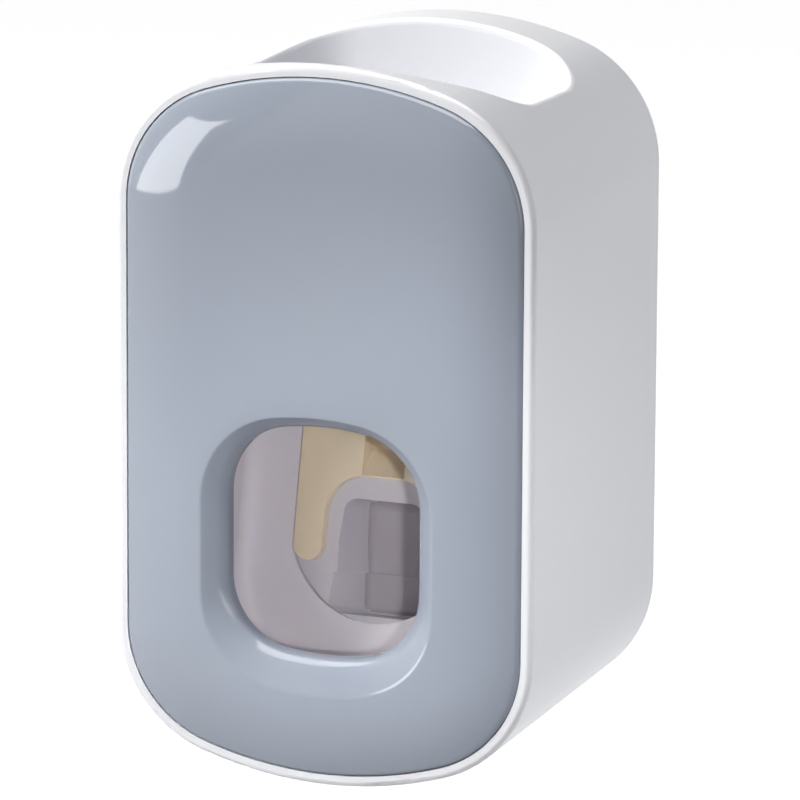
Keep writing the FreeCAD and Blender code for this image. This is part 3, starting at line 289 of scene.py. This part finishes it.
# the same plastic as darker and paler copies: painted shade behind the pocket and painted light
# on the tub
paintedShadeSmoke, paintedLightSmoke = (newMaterial(name, colour, 0.16, 0.03, 0.015, grainSize=0.0006,
                                    grain=0.04, subsurface=0.05)
                        for name, colour in (("paintedShadeSmoke", tone(180, 173, 180)),
                                             ("paintedLightSmoke", tone(236, 231, 238))))
for name, node in nodes.items():
    node.material_slots[0].material = finishes[slotOf[name]]
print("finishes on", len(nodes), "nodes")


# front panel: pillow face, flared window and its lip
panelShape = {"back": 70.2, "face": 74.2, "inset": 2.45, "edgeRound": 0.6, "pillowWidth": 16.4,
              "pillowRise": 3.1, "pillowPower": 2.4, "crown": 0.5, "wall": 2.0,
              "flareDepth": 2.9, "lipEnd": 70.2, "lipGrow": 0.1, "lipWall": 1.5, "turnIn": 12.0,
              "edgeSteps": (0.15, 0.4, 0.7), "edgeInset": 0.6, "edgeLift": 0.75,
              "pillowSteps": (0.5, 1.0, 1.6, 2.4, 3.4, 4.6, 6.0, 7.6, 9.6), "faceSteps": 12,
              "behindFlare": 0.6, "behindFace": 0.5, "backInset": 3.4,
              "flare": ((-0.06, 0.0), (0.02, 0.02), (0.09, 0.09), (0.18, 0.19), (0.34, 0.38),
                        (0.5, 0.58), (0.62, 0.74), (0.7, 0.86), (0.76, 0.97), (0.82, 1.1),
                        (0.88, 1.24), (0.94, 1.39), (0.985, 1.56), (1.0, 1.85), (1.0, 2.52))}
borderPoints = [Vector(p) for p in archedOutline(housingForm, panelShape["inset"], (40, 60, 80))]


def toBorder(x, z):
    # distance from a point to the panel's border
    here = Vector((x, z))
    best = min(range(len(borderPoints)), key=lambda i: (borderPoints[i] - here).length_squared)
    ends = []
    for other in (best - 1, (best + 1) % len(borderPoints)):
        a, b = borderPoints[best], borderPoints[other]
        share = max(0, min(1, (here - a).dot(b - a) / (b - a).length_squared))
        ends.append((a + (b - a) * share - here).length)
    return min(ends)


def faceOut(x, z, shape=panelShape):
    # how far from the wall the panel's face stands over a point
    share = min(toBorder(x, z) / shape["pillowWidth"], 1)
    pillow = shape["pillowRise"] * (1 - (1 - share) ** shape["pillowPower"])
    wide = housingForm["half"] - shape["inset"]
    tall = housingForm["top"] - shape["inset"]
    crown = shape["crown"] * max(1 - (x / wide) ** 2, 0) * max(1 - (z / tall) ** 2, 0)
    return shape["face"] + pillow + crown


def placed(points, out):
    # outline points as places in the frame; out is the distance from the wall
    return [Vector((x, -(out(x, z) if callable(out) else out), z)) * mm for x, z in points]


def makeFrontPanel():
    p = panelShape
    border = archedOutline(housingForm, p["inset"])
    rings = [placed(border, p["back"]), placed(border, p["face"] - p["edgeRound"])]
    for share in p["edgeSteps"]:
        turn = share * math.pi / 2
        inset = p["edgeRound"] * (1 - math.cos(turn)) * p["edgeInset"]
        lift = p["edgeRound"] * math.sin(turn) * p["edgeLift"]
        rings.append(placed(archedOutline(housingForm, p["inset"] + inset),
                            p["face"] - p["edgeRound"] + lift))
    for far in p["pillowSteps"]:
        rings.append(placed(archedOutline(housingForm, p["inset"] + far), faceOut))
    turnRing = archedOutline(housingForm, p["inset"] + p["turnIn"])
    window = archedOutline(windowForm)
    lip = archedOutline(lipBackForm)
    for i in range(p["faceSteps"]):
        rings.append(placed(mixed(turnRing, window, i / p["faceSteps"]), faceOut))
    top = p["face"] + p["pillowRise"] + p["crown"]
    floor = top - p["flareDepth"]
    for share, down in p["flare"]:
        rings.append(placed(mixed(window, lip, share),
                            lambda x, z, down=down: faceOut(x, z) * (1 - down) + floor * down))
    # round the end of the lip and back behind the face
    rings.append(placed(archedOutline(lipForm, -p["lipGrow"]), p["lipEnd"]))
    rings.append(placed(archedOutline(lipForm, -p["lipWall"]), p["lipEnd"]))
    rings.append(placed(archedOutline(lipForm, -p["lipWall"]), floor - p["behindFlare"]))
    rings.append(placed(window, top - p["wall"] - p["behindFlare"]))
    rings.append(placed(turnRing, top - p["wall"] - p["behindFace"]))
    rings.append(placed(archedOutline(housingForm, p["inset"] + p["backInset"]), p["back"]))
    return dress(loftRings("frontPanel", rings), "front_panel")


print("front panel:", len(makeFrontPanel().data.polygons), "faces")


# tub behind the window: slanting back with a round heel, soft bend at the sides
tubShape = {"half": 28.8, "floor": -54.0, "corner": 17.0, "top": 10.0, "front": 70.2,
            "wall": 1.5, "bend": 3.4, "plateOut": 38.37, "plateLevel": -1.0,
            "lean": math.tan(math.radians(13)), "heel": 13.0, "heelOut": 60.95,
            "heelTop": -43.93, "gateHalf": 18.2, "gateRadius": 19.1, "gateCentre": -26.0,
            "gateBend": -31.8, "pinHalf": 25.45, "pinLevel": -6.3, "lipGap": 1.65,
            "sideEnd": 63.0, "edge": 0.3, "frontWall": {
                "half": 30.2, "top": 9.9, "bottom": -55.4, "topArc": 3000, "topCorner": 1.5,
                "bottomArc": 3000, "bottomCorner": 18.0},
            "sideLevels": (10, 4, -3, -6, -6.4, -6.8, -12, -19, -26, -32),
            "gateLevels": (-12, -19, -26, -30), "shoulder": 22,
            "bendSteps": (0, 0.06, 0.25, 0.6, 1.1, 1.8, 2.6, 3.4),
            "backSteps": (0.12, 0.3, 0.55, 0.8, 1.0)}


def tubBack(z, t=tubShape):
    # how far from the wall the tub's back stands at a level
    if z >= t["heelTop"]:
        return t["plateOut"] - (z - t["plateLevel"]) * t["lean"]
    deep = t["heel"] ** 2 - (z - t["floor"] - t["heel"]) ** 2
    return t["heelOut"] - math.sqrt(max(deep, 0))


def tubOutline(inset, t=tubShape):
    # from the top left down, along the floor and up again, with the way each point faces
    half, low, corner = t["half"] - inset, t["floor"] + inset, t["corner"] - inset
    left = [(-half, z, 1.0) for z in t["sideLevels"]]
    for i in range(10):
        turn = math.pi + math.pi / 2 * i / 10
        left.append((corner - half + corner * math.cos(turn),
                     low + corner + corner * math.sin(turn), abs(math.cos(turn)) ** 1.5))
    left += [((corner - half) * (1 - i / 4), low, 0.0) for i in range(5)]
    return left + [(-x, z, side) for x, z, side in reversed(left[:-1])]


def gateOutline(t=tubShape):
    # the gap that the lever and the paddle swing in, point for point as the tub's outline
    pin, half, level = t["pinHalf"], t["gateHalf"], t["pinLevel"]
    left = [(-pin, z) for z in t["sideLevels"][:3]]
    left += [(-pin, level), (-t["shoulder"], level), (-half, level)]
    left += [(-half, z) for z in t["gateLevels"]]
    begin = math.atan2(t["gateBend"] - t["gateCentre"], -half) + 2 * math.pi
    for i in range(15):
        turn = begin + (1.5 * math.pi - begin) * i / 14
        left.append((t["gateRadius"] * math.cos(turn),
                     t["gateCentre"] + t["gateRadius"] * math.sin(turn)))
    return left + [(-x, z) for x, z in reversed(left[:-1])]


def makeTub():
    t = tubShape
    rings = [[Vector((x, -out, z)) * mm for x, z, side in tubOutline(0)]
             for out in (t["front"], t["sideEnd"])]
    for inset in t["bendSteps"]:
        ring = []
        for x, z, side in tubOutline(inset):
            hollow = t["bend"] - math.sqrt(t["bend"] ** 2 - (t["bend"] - inset) ** 2)
            ring.append(Vector((x, -tubBack(z) - side * hollow, z)) * mm)
        rings.append(ring)
    inner = [(x, z) for x, z, side in tubOutline(t["bend"])]
    for share in t["backSteps"]:
        rings.append([Vector((x, -tubBack(z), z)) * mm
                      for x, z in mixed(inner, gateOutline(), share)])
    tub = loftRings("windowLiner", rings, closed=False, openEnds=True)
    # the back's faces look out of the window
    beside = Vector((-22, -44, -25)) * mm
    if min(tub.data.polygons, key=lambda f: (f.center - beside).length).normal.y > 0:
        tub.data.flip_normals()
    applyModifier(tub, "SOLIDIFY", thickness=t["wall"] * mm, offset=-1)
    applyModifier(tub, "BEVEL", width=t["edge"] * mm, segments=2, limit_method="ANGLE",
                  angle_limit=math.radians(50))
    edge, hole = archedOutline(t["frontWall"]), archedOutline(lipForm, -t["lipGap"])
    wall = loftRings("linerFront", [placed(edge, t["front"] + t["wall"]),
                                    placed(hole, t["front"] + t["wall"]),
                                    placed(hole, t["front"]), placed(edge, t["front"])])
    pickOnly(wall, tub)
    bpy.ops.object.join()
    bpy.ops.object.shade_smooth_by_angle(angle=math.radians(30))
    dress(tub, "window_liner")
    # painted light: the tub takes a paler copy of the plastic
    tub.material_slots[0].material = paintedLightSmoke
    return tub


print("tub:", len(makeTub().data.polygons), "faces")


# moulded pieces: a merged copy of the solid's mesh with its edges rounded
def mergedCopy(name, node):
    obj = bpy.data.objects.new(name, nodes[node].data.copy())
    obj.data.name = name
    bpy.context.scene.collection.objects.link(obj)
    pickOnly(obj)
    if obj.data.has_custom_normals:
        bpy.ops.mesh.customdata_custom_splitnormals_clear()
    bpy.ops.object.mode_set(mode="EDIT")
    bpy.ops.mesh.select_all(action="SELECT")
    bpy.ops.mesh.remove_doubles(threshold=0.000002)
    bpy.ops.mesh.dissolve_limited(angle_limit=math.radians(0.8))
    bpy.ops.mesh.select_all(action="DESELECT")
    bpy.ops.object.mode_set(mode="OBJECT")
    return obj


def roundedPiece(obj, width, segments=2, angle=30):
    applyModifier(obj, "BEVEL", width=width * mm, segments=segments, limit_method="ANGLE",
                  angle_limit=math.radians(angle), use_clamp_overlap=True)
    bpy.ops.object.shade_smooth_by_angle(angle=math.radians(35))
    return obj


# name, edge rounding in millimetres and its steps
mouldedPieces = {"wall_bracket": ("wallBracket", 0.4, 2), "rear_cover": ("rearCover", 0.4, 2),
                 "inner_frame": ("innerFrame", 0.3, 2), "pump_body": ("pumpBody", 0.4, 2),
                 "diaphragm_ring": ("diaphragmRing", 0.2, 2),
                 "nozzle_collar": ("nozzleCollar", 0.3, 2),
                 "tube_socket": ("tubeSocket", 0.3, 2), "valve_seat": ("valveSeat", 0.12, 2),
                 "tube_chute": ("tubeChute", 0.35, 2), "plunger": ("plunger", 0.25, 2),
                 "inlet_valve": ("inletValve", 0.12, 2), "push_lever": ("pushLever", 0.5, 3)}
for node, (name, width, steps) in mouldedPieces.items():
    piece = dress(roundedPiece(mergedCopy(name, node), width, steps), node)
    print(name, len(piece.data.polygons), "faces")


# brush paddle: plate with a pocket, drawn upright and then leant on its pivot
paddleShape = {"pivotOut": 35.5, "pivotLevel": -1.0, "lean": math.radians(13),
               "plate": ((20.7, -15.1, 1.0), (-20.7, -15.1, 1.0),
                         (-20.7, -47.7, 20.6), (20.7, -47.7, 20.6)),
               "front": -1.0, "rear": 0.6, "top": -21.6, "floor": -44.6, "back": 9.5,
               "mouthHalf": (8.2, 10.2), "backHalf": (6.9, 5.5), "wall": 1.4,
               "topRound": 2.4, "floorRound": 1.3, "cornerRound": 2.2, "mouthCorner": 0.2,
               "edge": 0.45, "roundSteps": 4, "sunk": 0.8, "overrun": 1.0, "paintedShadeFrom": 8.0,
               "step": ((-30.5, 0), (-36.2, 0.65), (-36.45, 0.55), (-36.5, 0))}


def leant(x, y, z, p=paddleShape):
    # a place on the upright paddle, y to the back, as a place in the frame
    across, along = math.cos(p["lean"]), math.sin(p["lean"])
    return Vector((x, y * across + z * along - p["pivotOut"],
                   z * across - y * along + p["pivotLevel"])) * mm


def cornered(corners, perCorner=8):
    # closed outline with a rounding at each corner, from (across, along, radius) in order
    points = []
    for i, (x, z, radius) in enumerate(corners):
        here = Vector((x, z))
        before = (Vector(corners[i - 1][:2]) - here).normalized()
        after = (Vector(corners[(i + 1) % len(corners)][:2]) - here).normalized()
        half = math.acos(max(-1, min(1, before.dot(after)))) / 2
        reach = radius / math.tan(half)
        centre = here + (before + after).normalized() * radius / math.sin(half)
        start, end = here + before * reach - centre, here + after * reach - centre
        first = math.atan2(start.y, start.x)
        swing = (math.atan2(end.y, end.x) - first + math.pi) % (2 * math.pi) - math.pi
        points += [(centre.x + radius * math.cos(first + swing * j / perCorner),
                    centre.y + radius * math.sin(first + swing * j / perCorner))
                   for j in range(perCorner + 1)]
    return points


def pocketBody(name, grow, front, step):
    # the pocket as a solid, level by level from its top to its floor
    p = paddleShape
    top, floor = p["top"] + grow, p["floor"] - grow
    turns = [math.pi / 2 * j / p["roundSteps"] for j in range(p["roundSteps"] + 1)]
    levels = [(top - p["topRound"] * (1 - math.sin(turn)),
               p["topRound"] * (1 - math.cos(turn))) for turn in reversed(turns)]
    levels += step
    levels += [(floor + p["floorRound"] * (1 - math.sin(turn)),
                p["floorRound"] * (1 - math.cos(turn))) for turn in turns]
    rings = []
    for level, inset in levels:
        share = (level - p["top"]) / (p["floor"] - p["top"])
        mouth = p["mouthHalf"][0] + (p["mouthHalf"][1] - p["mouthHalf"][0]) * share
        behind = p["backHalf"][0] + (p["backHalf"][1] - p["backHalf"][0]) * share
        widen = (mouth - behind) / (p["back"] - p["front"]) * (p["front"] - front)
        half, back = mouth + widen + grow - inset, p["back"] + grow - inset
        near, far = (front, p["mouthCorner"]), (back, p["cornerRound"] + grow)
        rings.append([leant(x, y, level) for x, y in cornered([
            (half, *near), (-half, *near), (-behind - grow + inset, *far),
            (behind + grow - inset, *far)])])
    return cappedLoft(name, rings)


def cappedLoft(name, rings, angle=35):
    # rings joined in order, with a face on the first and on the last
    obj, ring = startRing(name, rings[0])
    for points in rings[1:]:
        ring = nextRing(obj, ring, points)
    bpy.ops.mesh.edge_face_add()
    bpy.ops.mesh.select_all(action="DESELECT")
    bpy.ops.mesh.select_non_manifold()
    bpy.ops.mesh.edge_face_add()
    return finishPiece(obj, angle)


def combine(obj, tool, operation):
    applyModifier(obj, "BOOLEAN", object=tool, operation=operation, solver="EXACT")
    bpy.data.objects.remove(tool, do_unlink=True)


def makePaddle():
    p = paddleShape
    plate = cornered(p["plate"], 16)
    paddle = cappedLoft("brushPaddle", [[leant(x, out, z) for x, z in plate]
                                        for out in (p["front"], p["rear"])])
    outer = pocketBody("pocketOuter", p["wall"], p["front"] + p["sunk"], [])
    combine(paddle, outer, "UNION")
    inner = pocketBody("pocketInner", 0, p["front"] - p["overrun"], list(p["step"]))
    combine(paddle, inner, "DIFFERENCE")
    roundedPiece(paddle, p["edge"], 3)
    dress(paddle, "brush_paddle")
    # painted shade: the pocket's back, set into the plate, takes a darker copy of the plastic
    # than its walls
    paddle.data.materials.append(paintedShadeSmoke)
    for face in paddle.data.polygons:
        x, y, z = face.center / mm
        behind = p["pivotOut"] + y - (z - p["pivotLevel"]) * math.tan(p["lean"])
        if face.normal.y < -0.5 and behind * math.cos(p["lean"]) > p["paintedShadeFrom"]:
            face.material_index = 1
    return paddle


print("brush paddle:", len(makePaddle().data.polygons), "faces")


# soft pieces, turned about their own upright line
def turnedPiece(name, profile, centreY, smoothAngle=40, around=64):
    # profile holds (radius, height) points in order, closed from the last to the first
    turns = [2 * math.pi * i / around for i in range(around)]
    rings = [[Vector((r * math.cos(t), centreY + r * math.sin(t), z)) * mm for t in turns]
             for r, z in profile]
    obj = loftRings(name, rings)
    pickOnly(obj)
    bpy.ops.object.shade_smooth_by_angle(angle=math.radians(smoothAngle))
    return obj


def roundedProfile(corners, steps=4):
    # corners hold (radius, height, rounding); each becomes a short arc of points
    points = []
    count = len(corners)
    for i, (r, z, rounding) in enumerate(corners):
        here = Vector((r, z))
        before = Vector(corners[i - 1][:2]) - here
        after = Vector(corners[(i + 1) % count][:2]) - here
        if not rounding:
            points.append((r, z))
            continue
        start = here + before.normalized() * rounding
        end = here + after.normalized() * rounding
        for j in range(steps + 1):
            share = j / steps
            spot = start.lerp(here, share).lerp(here.lerp(end, share), share)
            points.append((spot.x, spot.y))
    return points


seamShape = {"centre": -48.0,
             "seal": ((8.75, 33.5, 0.2), (8.75, 47.0, 0), (10.2, 47.0, 0.1), (10.2, 48.2, 0.45),
                      (7.6, 48.2, 0.3), (6.4, 46.9, 0.5), (6.4, 35.0, 0.3), (7.4, 35.0, 0.2),
                      (7.4, 33.5, 0.2)),
             "nozzle": ((7.0, 8.0, 0.1), (7.0, 6.8, 0.15), (4.5, 6.8, 0.25), (4.5, 1.5, 0.6),
                        (3.2, -3.6, 0.6), (1.6, -3.6, 0.45), (1.6, 1.2, 0.3), (3.0, 1.8, 0.3),
                        (3.0, 8.0, 0.1))}
for name, part, node in (("tubeSeal", "seal", "tube_seal"),
                         ("outletNozzle", "nozzle", "outlet_nozzle")):
    dress(turnedPiece(name, roundedProfile(seamShape[part]), seamShape["centre"]), node)
print("seal and nozzle turned")

# the membrane, which flattens upwards as the plunger rises under it, is a rounded copy of its
# solid with a mesh of its own
membraneShape = {"round": 0.2, "anchor": (0, -0.025, 0.01741), "keep": 0.1}
membrane = roundedPiece(mergedCopy("diaphragm", "diaphragm"), membraneShape["round"])
dress(membrane, "diaphragm")
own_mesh(membrane)

# wound spring with closed end coils
springShape = {"wire": 0.35, "radius": 6.3, "centreY": -25.0, "low": 2.95, "high": 9.65,
               "turns": 4.5, "closed": 0.6, "easing": 0.4, "packing": 1.02, "perTurn": 20,
               "seats": (2.6, 10.0), "stroke": 2.7, "fixedEnd": (0, -0.025, 0.010)}


def makeSpring():
    p = springShape
    count = int(p["turns"] * p["perTurn"]) + 1
    shut = 2 * (p["closed"] + p["easing"] / 2)
    steady = 2 * p["wire"] * p["packing"]
    free = (p["high"] - p["low"] - steady * shut) / (p["turns"] - shut)
    data = bpy.data.curves.new("returnSpring", "CURVE")
    data.dimensions = "3D"
    spline = data.splines.new("NURBS")
    spline.points.add(count - 1)
    height = p["low"]
    for i in range(count):
        turn = i / p["perTurn"]
        fromEnd = min(turn, p["turns"] - turn)
        opened = min(max((fromEnd - p["closed"]) / p["easing"], 0), 1)
        if i:
            height += (steady + (free - steady) * opened) / p["perTurn"]
        angle = 2 * math.pi * turn
        spline.points[i].co = Vector((p["radius"] * math.cos(angle),
                                      p["centreY"] + p["radius"] * math.sin(angle),
                                      min(height, p["high"]), 1 / mm)) * mm
    spline.order_u = 4
    spline.use_endpoint_u = True
    data.bevel_depth = p["wire"] * mm
    data.bevel_resolution = 3
    data.use_fill_caps = True
    obj = bpy.data.objects.new("returnSpring", data)
    bpy.context.scene.collection.objects.link(obj)
    pickOnly(obj)
    bpy.ops.object.convert(target="MESH")
    spring = bpy.context.active_object
    bpy.ops.object.shade_smooth_by_angle(angle=math.radians(50))
    dress(spring, "return_spring")
    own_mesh(spring)
    return spring


print("spring:", len(makeSpring().data.polygons), "faces")

# foam pad on the wall, its cut edge swelling a little
padShape = {"form": {"half": 26.0, "top": 36.0, "bottom": -36.0, "topArc": 5000,
                     "topCorner": 4.0, "bottomArc": 5000, "bottomCorner": 4.0},
            "layers": ((0.0, 0.35), (0.04, 0.12), (0.2, 0.02), (0.4, 0.0), (0.6, 0.02),
                       (0.76, 0.12), (0.8, 0.35), (0.8, 1.2), (0.8, 2.6))}


def makePad():
    # each layer is (distance from the wall, how far in from the outline)
    rings = [placed(archedOutline(padShape["form"], inset, (30, 8, 24)), out)
             for out, inset in padShape["layers"]]
    pad = dress(cappedLoft("adhesivePad", rings, 50), "adhesive_pad")
    return pad


print("foam pad:", len(makePad().data.polygons), "faces")


# studio: pale floor, soft lamps, a beam through the window and lit cards for the reflections
# turns and rises are in degrees, far and size in metres, powers in watts
studio = {"floor": -0.32, "floorTone": (0.5, 0.5, 0.51), "floorLift": 0.9, "air": 0.06,
          "keyTurn": -52, "keyRise": 33, "keyFar": 1.7, "keySize": 0.8, "keyPower": 28.5,
          "frontTurn": -20, "frontRise": 6, "frontFar": 1.9, "frontSize": 0.7, "frontPower": 2.5,
          "topTurn": 25, "topRise": 72, "topFar": 1.5, "topSize": 0.9, "topPower": 6.3,
          "sideTurn": 116, "sideRise": -2, "sideFar": 1.6, "sideSize": 0.6, "sidePower": 9,
          "windowTurn": 26, "windowRise": 13, "windowFar": 1.2, "windowReach": 0.0235,
          "windowPower": 108, "windowEdge": 0.25, "windowBulb": 0.055,
          "windowAim": (0, -0.06, -0.024), "aim": (0, -0.04, 0),
          "cardFar": 2.4, "glareGlow": 10.0,
          "glareCorners": ((64.5, -8.7), (42.5, 15.6), (29.6, 11.3), (33.4, -10.3)),
          "roofCorners": ((84, 38), (150, 32), (-90, 62), (-20, 52)), "roofGlow": 8.0,
          "leftCorners": ((112, -35), (112, 42), (26, 42), (26, -35)), "leftGlow": 3.5,
          "rightCorners": ((-62, -12), (-62, 26), (-74, 26), (-74, -12)), "rightGlow": 5.0}


def outward(turn, rise):
    # direction from the object; turn is 0 towards the front and grows to the right
    turn, rise = math.radians(turn), math.radians(rise)
    return Vector((math.sin(turn) * math.cos(rise), -math.cos(turn) * math.cos(rise),
                   math.sin(rise)))


def backgroundRays(tree):
    # 1 for rays that see the background: straight, mirrored or through something clear
    path = tree.nodes.new("ShaderNodeLightPath")
    total = path.outputs["Is Camera Ray"]
    for kind in ("Is Glossy Ray", "Is Transmission Ray"):
        either = tree.nodes.new("ShaderNodeMath")
        either.operation = "MAXIMUM"
        tree.links.new(total, either.inputs[0])
        tree.links.new(path.outputs[kind], either.inputs[1])
        total = either.outputs["Value"]
    return total


def makeStudio():
    bpy.ops.object.select_all(action="DESELECT")
    bpy.ops.mesh.primitive_plane_add(size=14, location=(0, 0, studio["floor"]))
    floor = bpy.context.active_object
    floor.name = "studioFloor"
    material = bpy.data.materials.new("studioFloor")
    material.use_nodes = True
    tree = material.node_tree
    shader = tree.nodes["Principled BSDF"]
    shader.inputs["Base Color"].default_value = (*studio["floorTone"], 1)
    shader.inputs["Roughness"].default_value = 0.9
    shader.inputs["Specular IOR Level"].default_value = 0.0
    shader.inputs["Emission Color"].default_value = (1, 1, 1, 1)
    lift = tree.nodes.new("ShaderNodeMapRange")
    lift.inputs["To Min"].default_value = 0
    lift.inputs["To Max"].default_value = studio["floorLift"]
    tree.links.new(backgroundRays(tree), lift.inputs["Value"])
    tree.links.new(lift.outputs["Result"], shader.inputs["Emission Strength"])
    floor.data.materials.append(material)
    world = bpy.data.worlds.new("studioAir")
    bpy.context.scene.world = world
    world.use_nodes = True
    tree = world.node_tree
    back = tree.nodes["Background"]
    back.inputs["Color"].default_value = (1, 1, 1, 1)
    bright = tree.nodes.new("ShaderNodeMapRange")
    bright.inputs["To Min"].default_value = studio["air"]
    bright.inputs["To Max"].default_value = 1
    tree.links.new(backgroundRays(tree), bright.inputs["Value"])
    tree.links.new(bright.outputs["Result"], back.inputs["Strength"])


def softbox(name, kind, colour=(1, 1, 1)):
    turn, rise, far, size, power = (studio[kind + word]
                                    for word in ("Turn", "Rise", "Far", "Size", "Power"))
    data = bpy.data.lights.new(name, "AREA")
    data.shape = "SQUARE"
    data.size = size
    data.energy = power
    data.color = colour
    lamp = bpy.data.objects.new(name, data)
    bpy.context.scene.collection.objects.link(lamp)
    lamp.location = Vector(studio["aim"]) + outward(turn, rise) * far
    lamp.rotation_euler = outward(turn, rise).to_track_quat("Z", "Y").to_euler()
    lamp.visible_camera = lamp.visible_glossy = False


def windowLamp():
    # a narrow beam through the window, so that the tub and the lever are seen
    away = outward(studio["windowTurn"], studio["windowRise"])
    data = bpy.data.lights.new("windowLight", "SPOT")
    data.energy = studio["windowPower"]
    data.spot_size = 2 * math.atan(studio["windowReach"] / studio["windowFar"])
    data.spot_blend = studio["windowEdge"]
    data.shadow_soft_size = studio["windowBulb"]
    lamp = bpy.data.objects.new("windowLight", data)
    bpy.context.scene.collection.objects.link(lamp)
    lamp.location = Vector(studio["windowAim"]) + away * studio["windowFar"]
    lamp.rotation_euler = away.to_track_quat("Z", "Y").to_euler()
    lamp.visible_camera = lamp.visible_glossy = False


def makeCard(kind, start, far=1.0, fading=False):
    # a lit card seen only in glossy surfaces; its corners are (degrees to the left, rise) as
    # seen from start, and fading dims it towards the right
    name, corners, glow = kind + "Card", studio[kind + "Corners"], studio[kind + "Glow"]
    bpy.ops.object.select_all(action="DESELECT")
    bpy.ops.mesh.primitive_plane_add(size=1)
    card = bpy.context.active_object
    card.name = name
    bpy.ops.object.mode_set(mode="EDIT")
    mesh = bmesh.from_edit_mesh(card.data)
    mesh.verts.ensure_lookup_table()
    for vert, corner in zip([mesh.verts[i] for i in (0, 1, 3, 2)], corners):
        vert.co = Vector(start) + outward(-corner[0], corner[1]) * studio["cardFar"] * far
    bmesh.update_edit_mesh(card.data)
    bpy.ops.object.mode_set(mode="OBJECT")
    material = bpy.data.materials.new(name)
    material.use_nodes = True
    tree = material.node_tree
    tree.nodes.remove(tree.nodes["Principled BSDF"])
    light = tree.nodes.new("ShaderNodeEmission")
    light.inputs["Strength"].default_value = glow
    if fading:
        where = tree.nodes.new("ShaderNodeSeparateXYZ")
        tree.links.new(tree.nodes.new("ShaderNodeTexCoord").outputs["Object"],
                       where.inputs["Vector"])
        across = [vert.co.x for vert in card.data.vertices]
        ramp = tree.nodes.new("ShaderNodeMapRange")
        for socket, value in (("From Min", min(across)), ("From Max", max(across)),
                              ("To Min", glow), ("To Max", 0)):
            ramp.inputs[socket].default_value = value
        tree.links.new(where.outputs["X"], ramp.inputs["Value"])
        tree.links.new(ramp.outputs["Result"], light.inputs["Strength"])
    tree.links.new(light.outputs["Emission"], tree.nodes["Material Output"].inputs["Surface"])
    card.data.materials.append(material)
    card.visible_camera = card.visible_diffuse = card.visible_shadow = False


def makeCamera():
    view = {"turn": 21.65, "rise": 13.35, "roll": 0.31, "distance": 1.42359,
            "lens": 325.53, "aim": (0.00418, -0.044, -0.00021)}
    back, roll = outward(view["turn"], view["rise"]), math.radians(view["roll"])
    right = Vector((0, 0, 1)).cross(back).normalized()
    up = back.cross(right)
    across = right * math.cos(roll) + up * math.sin(roll)
    above = up * math.cos(roll) - right * math.sin(roll)
    data = bpy.data.cameras.new("camera")
    data.lens = view["lens"]
    data.clip_start, data.clip_end = 0.05, 50
    camera = bpy.data.objects.new("camera", data)
    bpy.context.scene.collection.objects.link(camera)
    camera.matrix_world = Matrix.Translation(Vector(view["aim"]) + back * view["distance"]) @ (
        Matrix((across, above, back)).transposed().to_4x4())
    bpy.context.scene.camera = camera


makeStudio()
softbox("keyLight", "key", (1.0, 0.99, 0.97))
softbox("frontLight", "front")
softbox("topLight", "top")
softbox("sideLight", "side", (0.97, 0.98, 1.0))
windowLamp()
makeCard("glare", (-0.028, -0.076, 0.05))
makeCard("roof", (0, -0.07, -0.04))
makeCard("left", (-0.03, -0.07, 0), 1.9, True)
makeCard("right", (0, -0.06, -0.03))
makeCamera()
bpy.context.scene.view_settings.view_transform = "Standard"
print("studio lit, camera set")
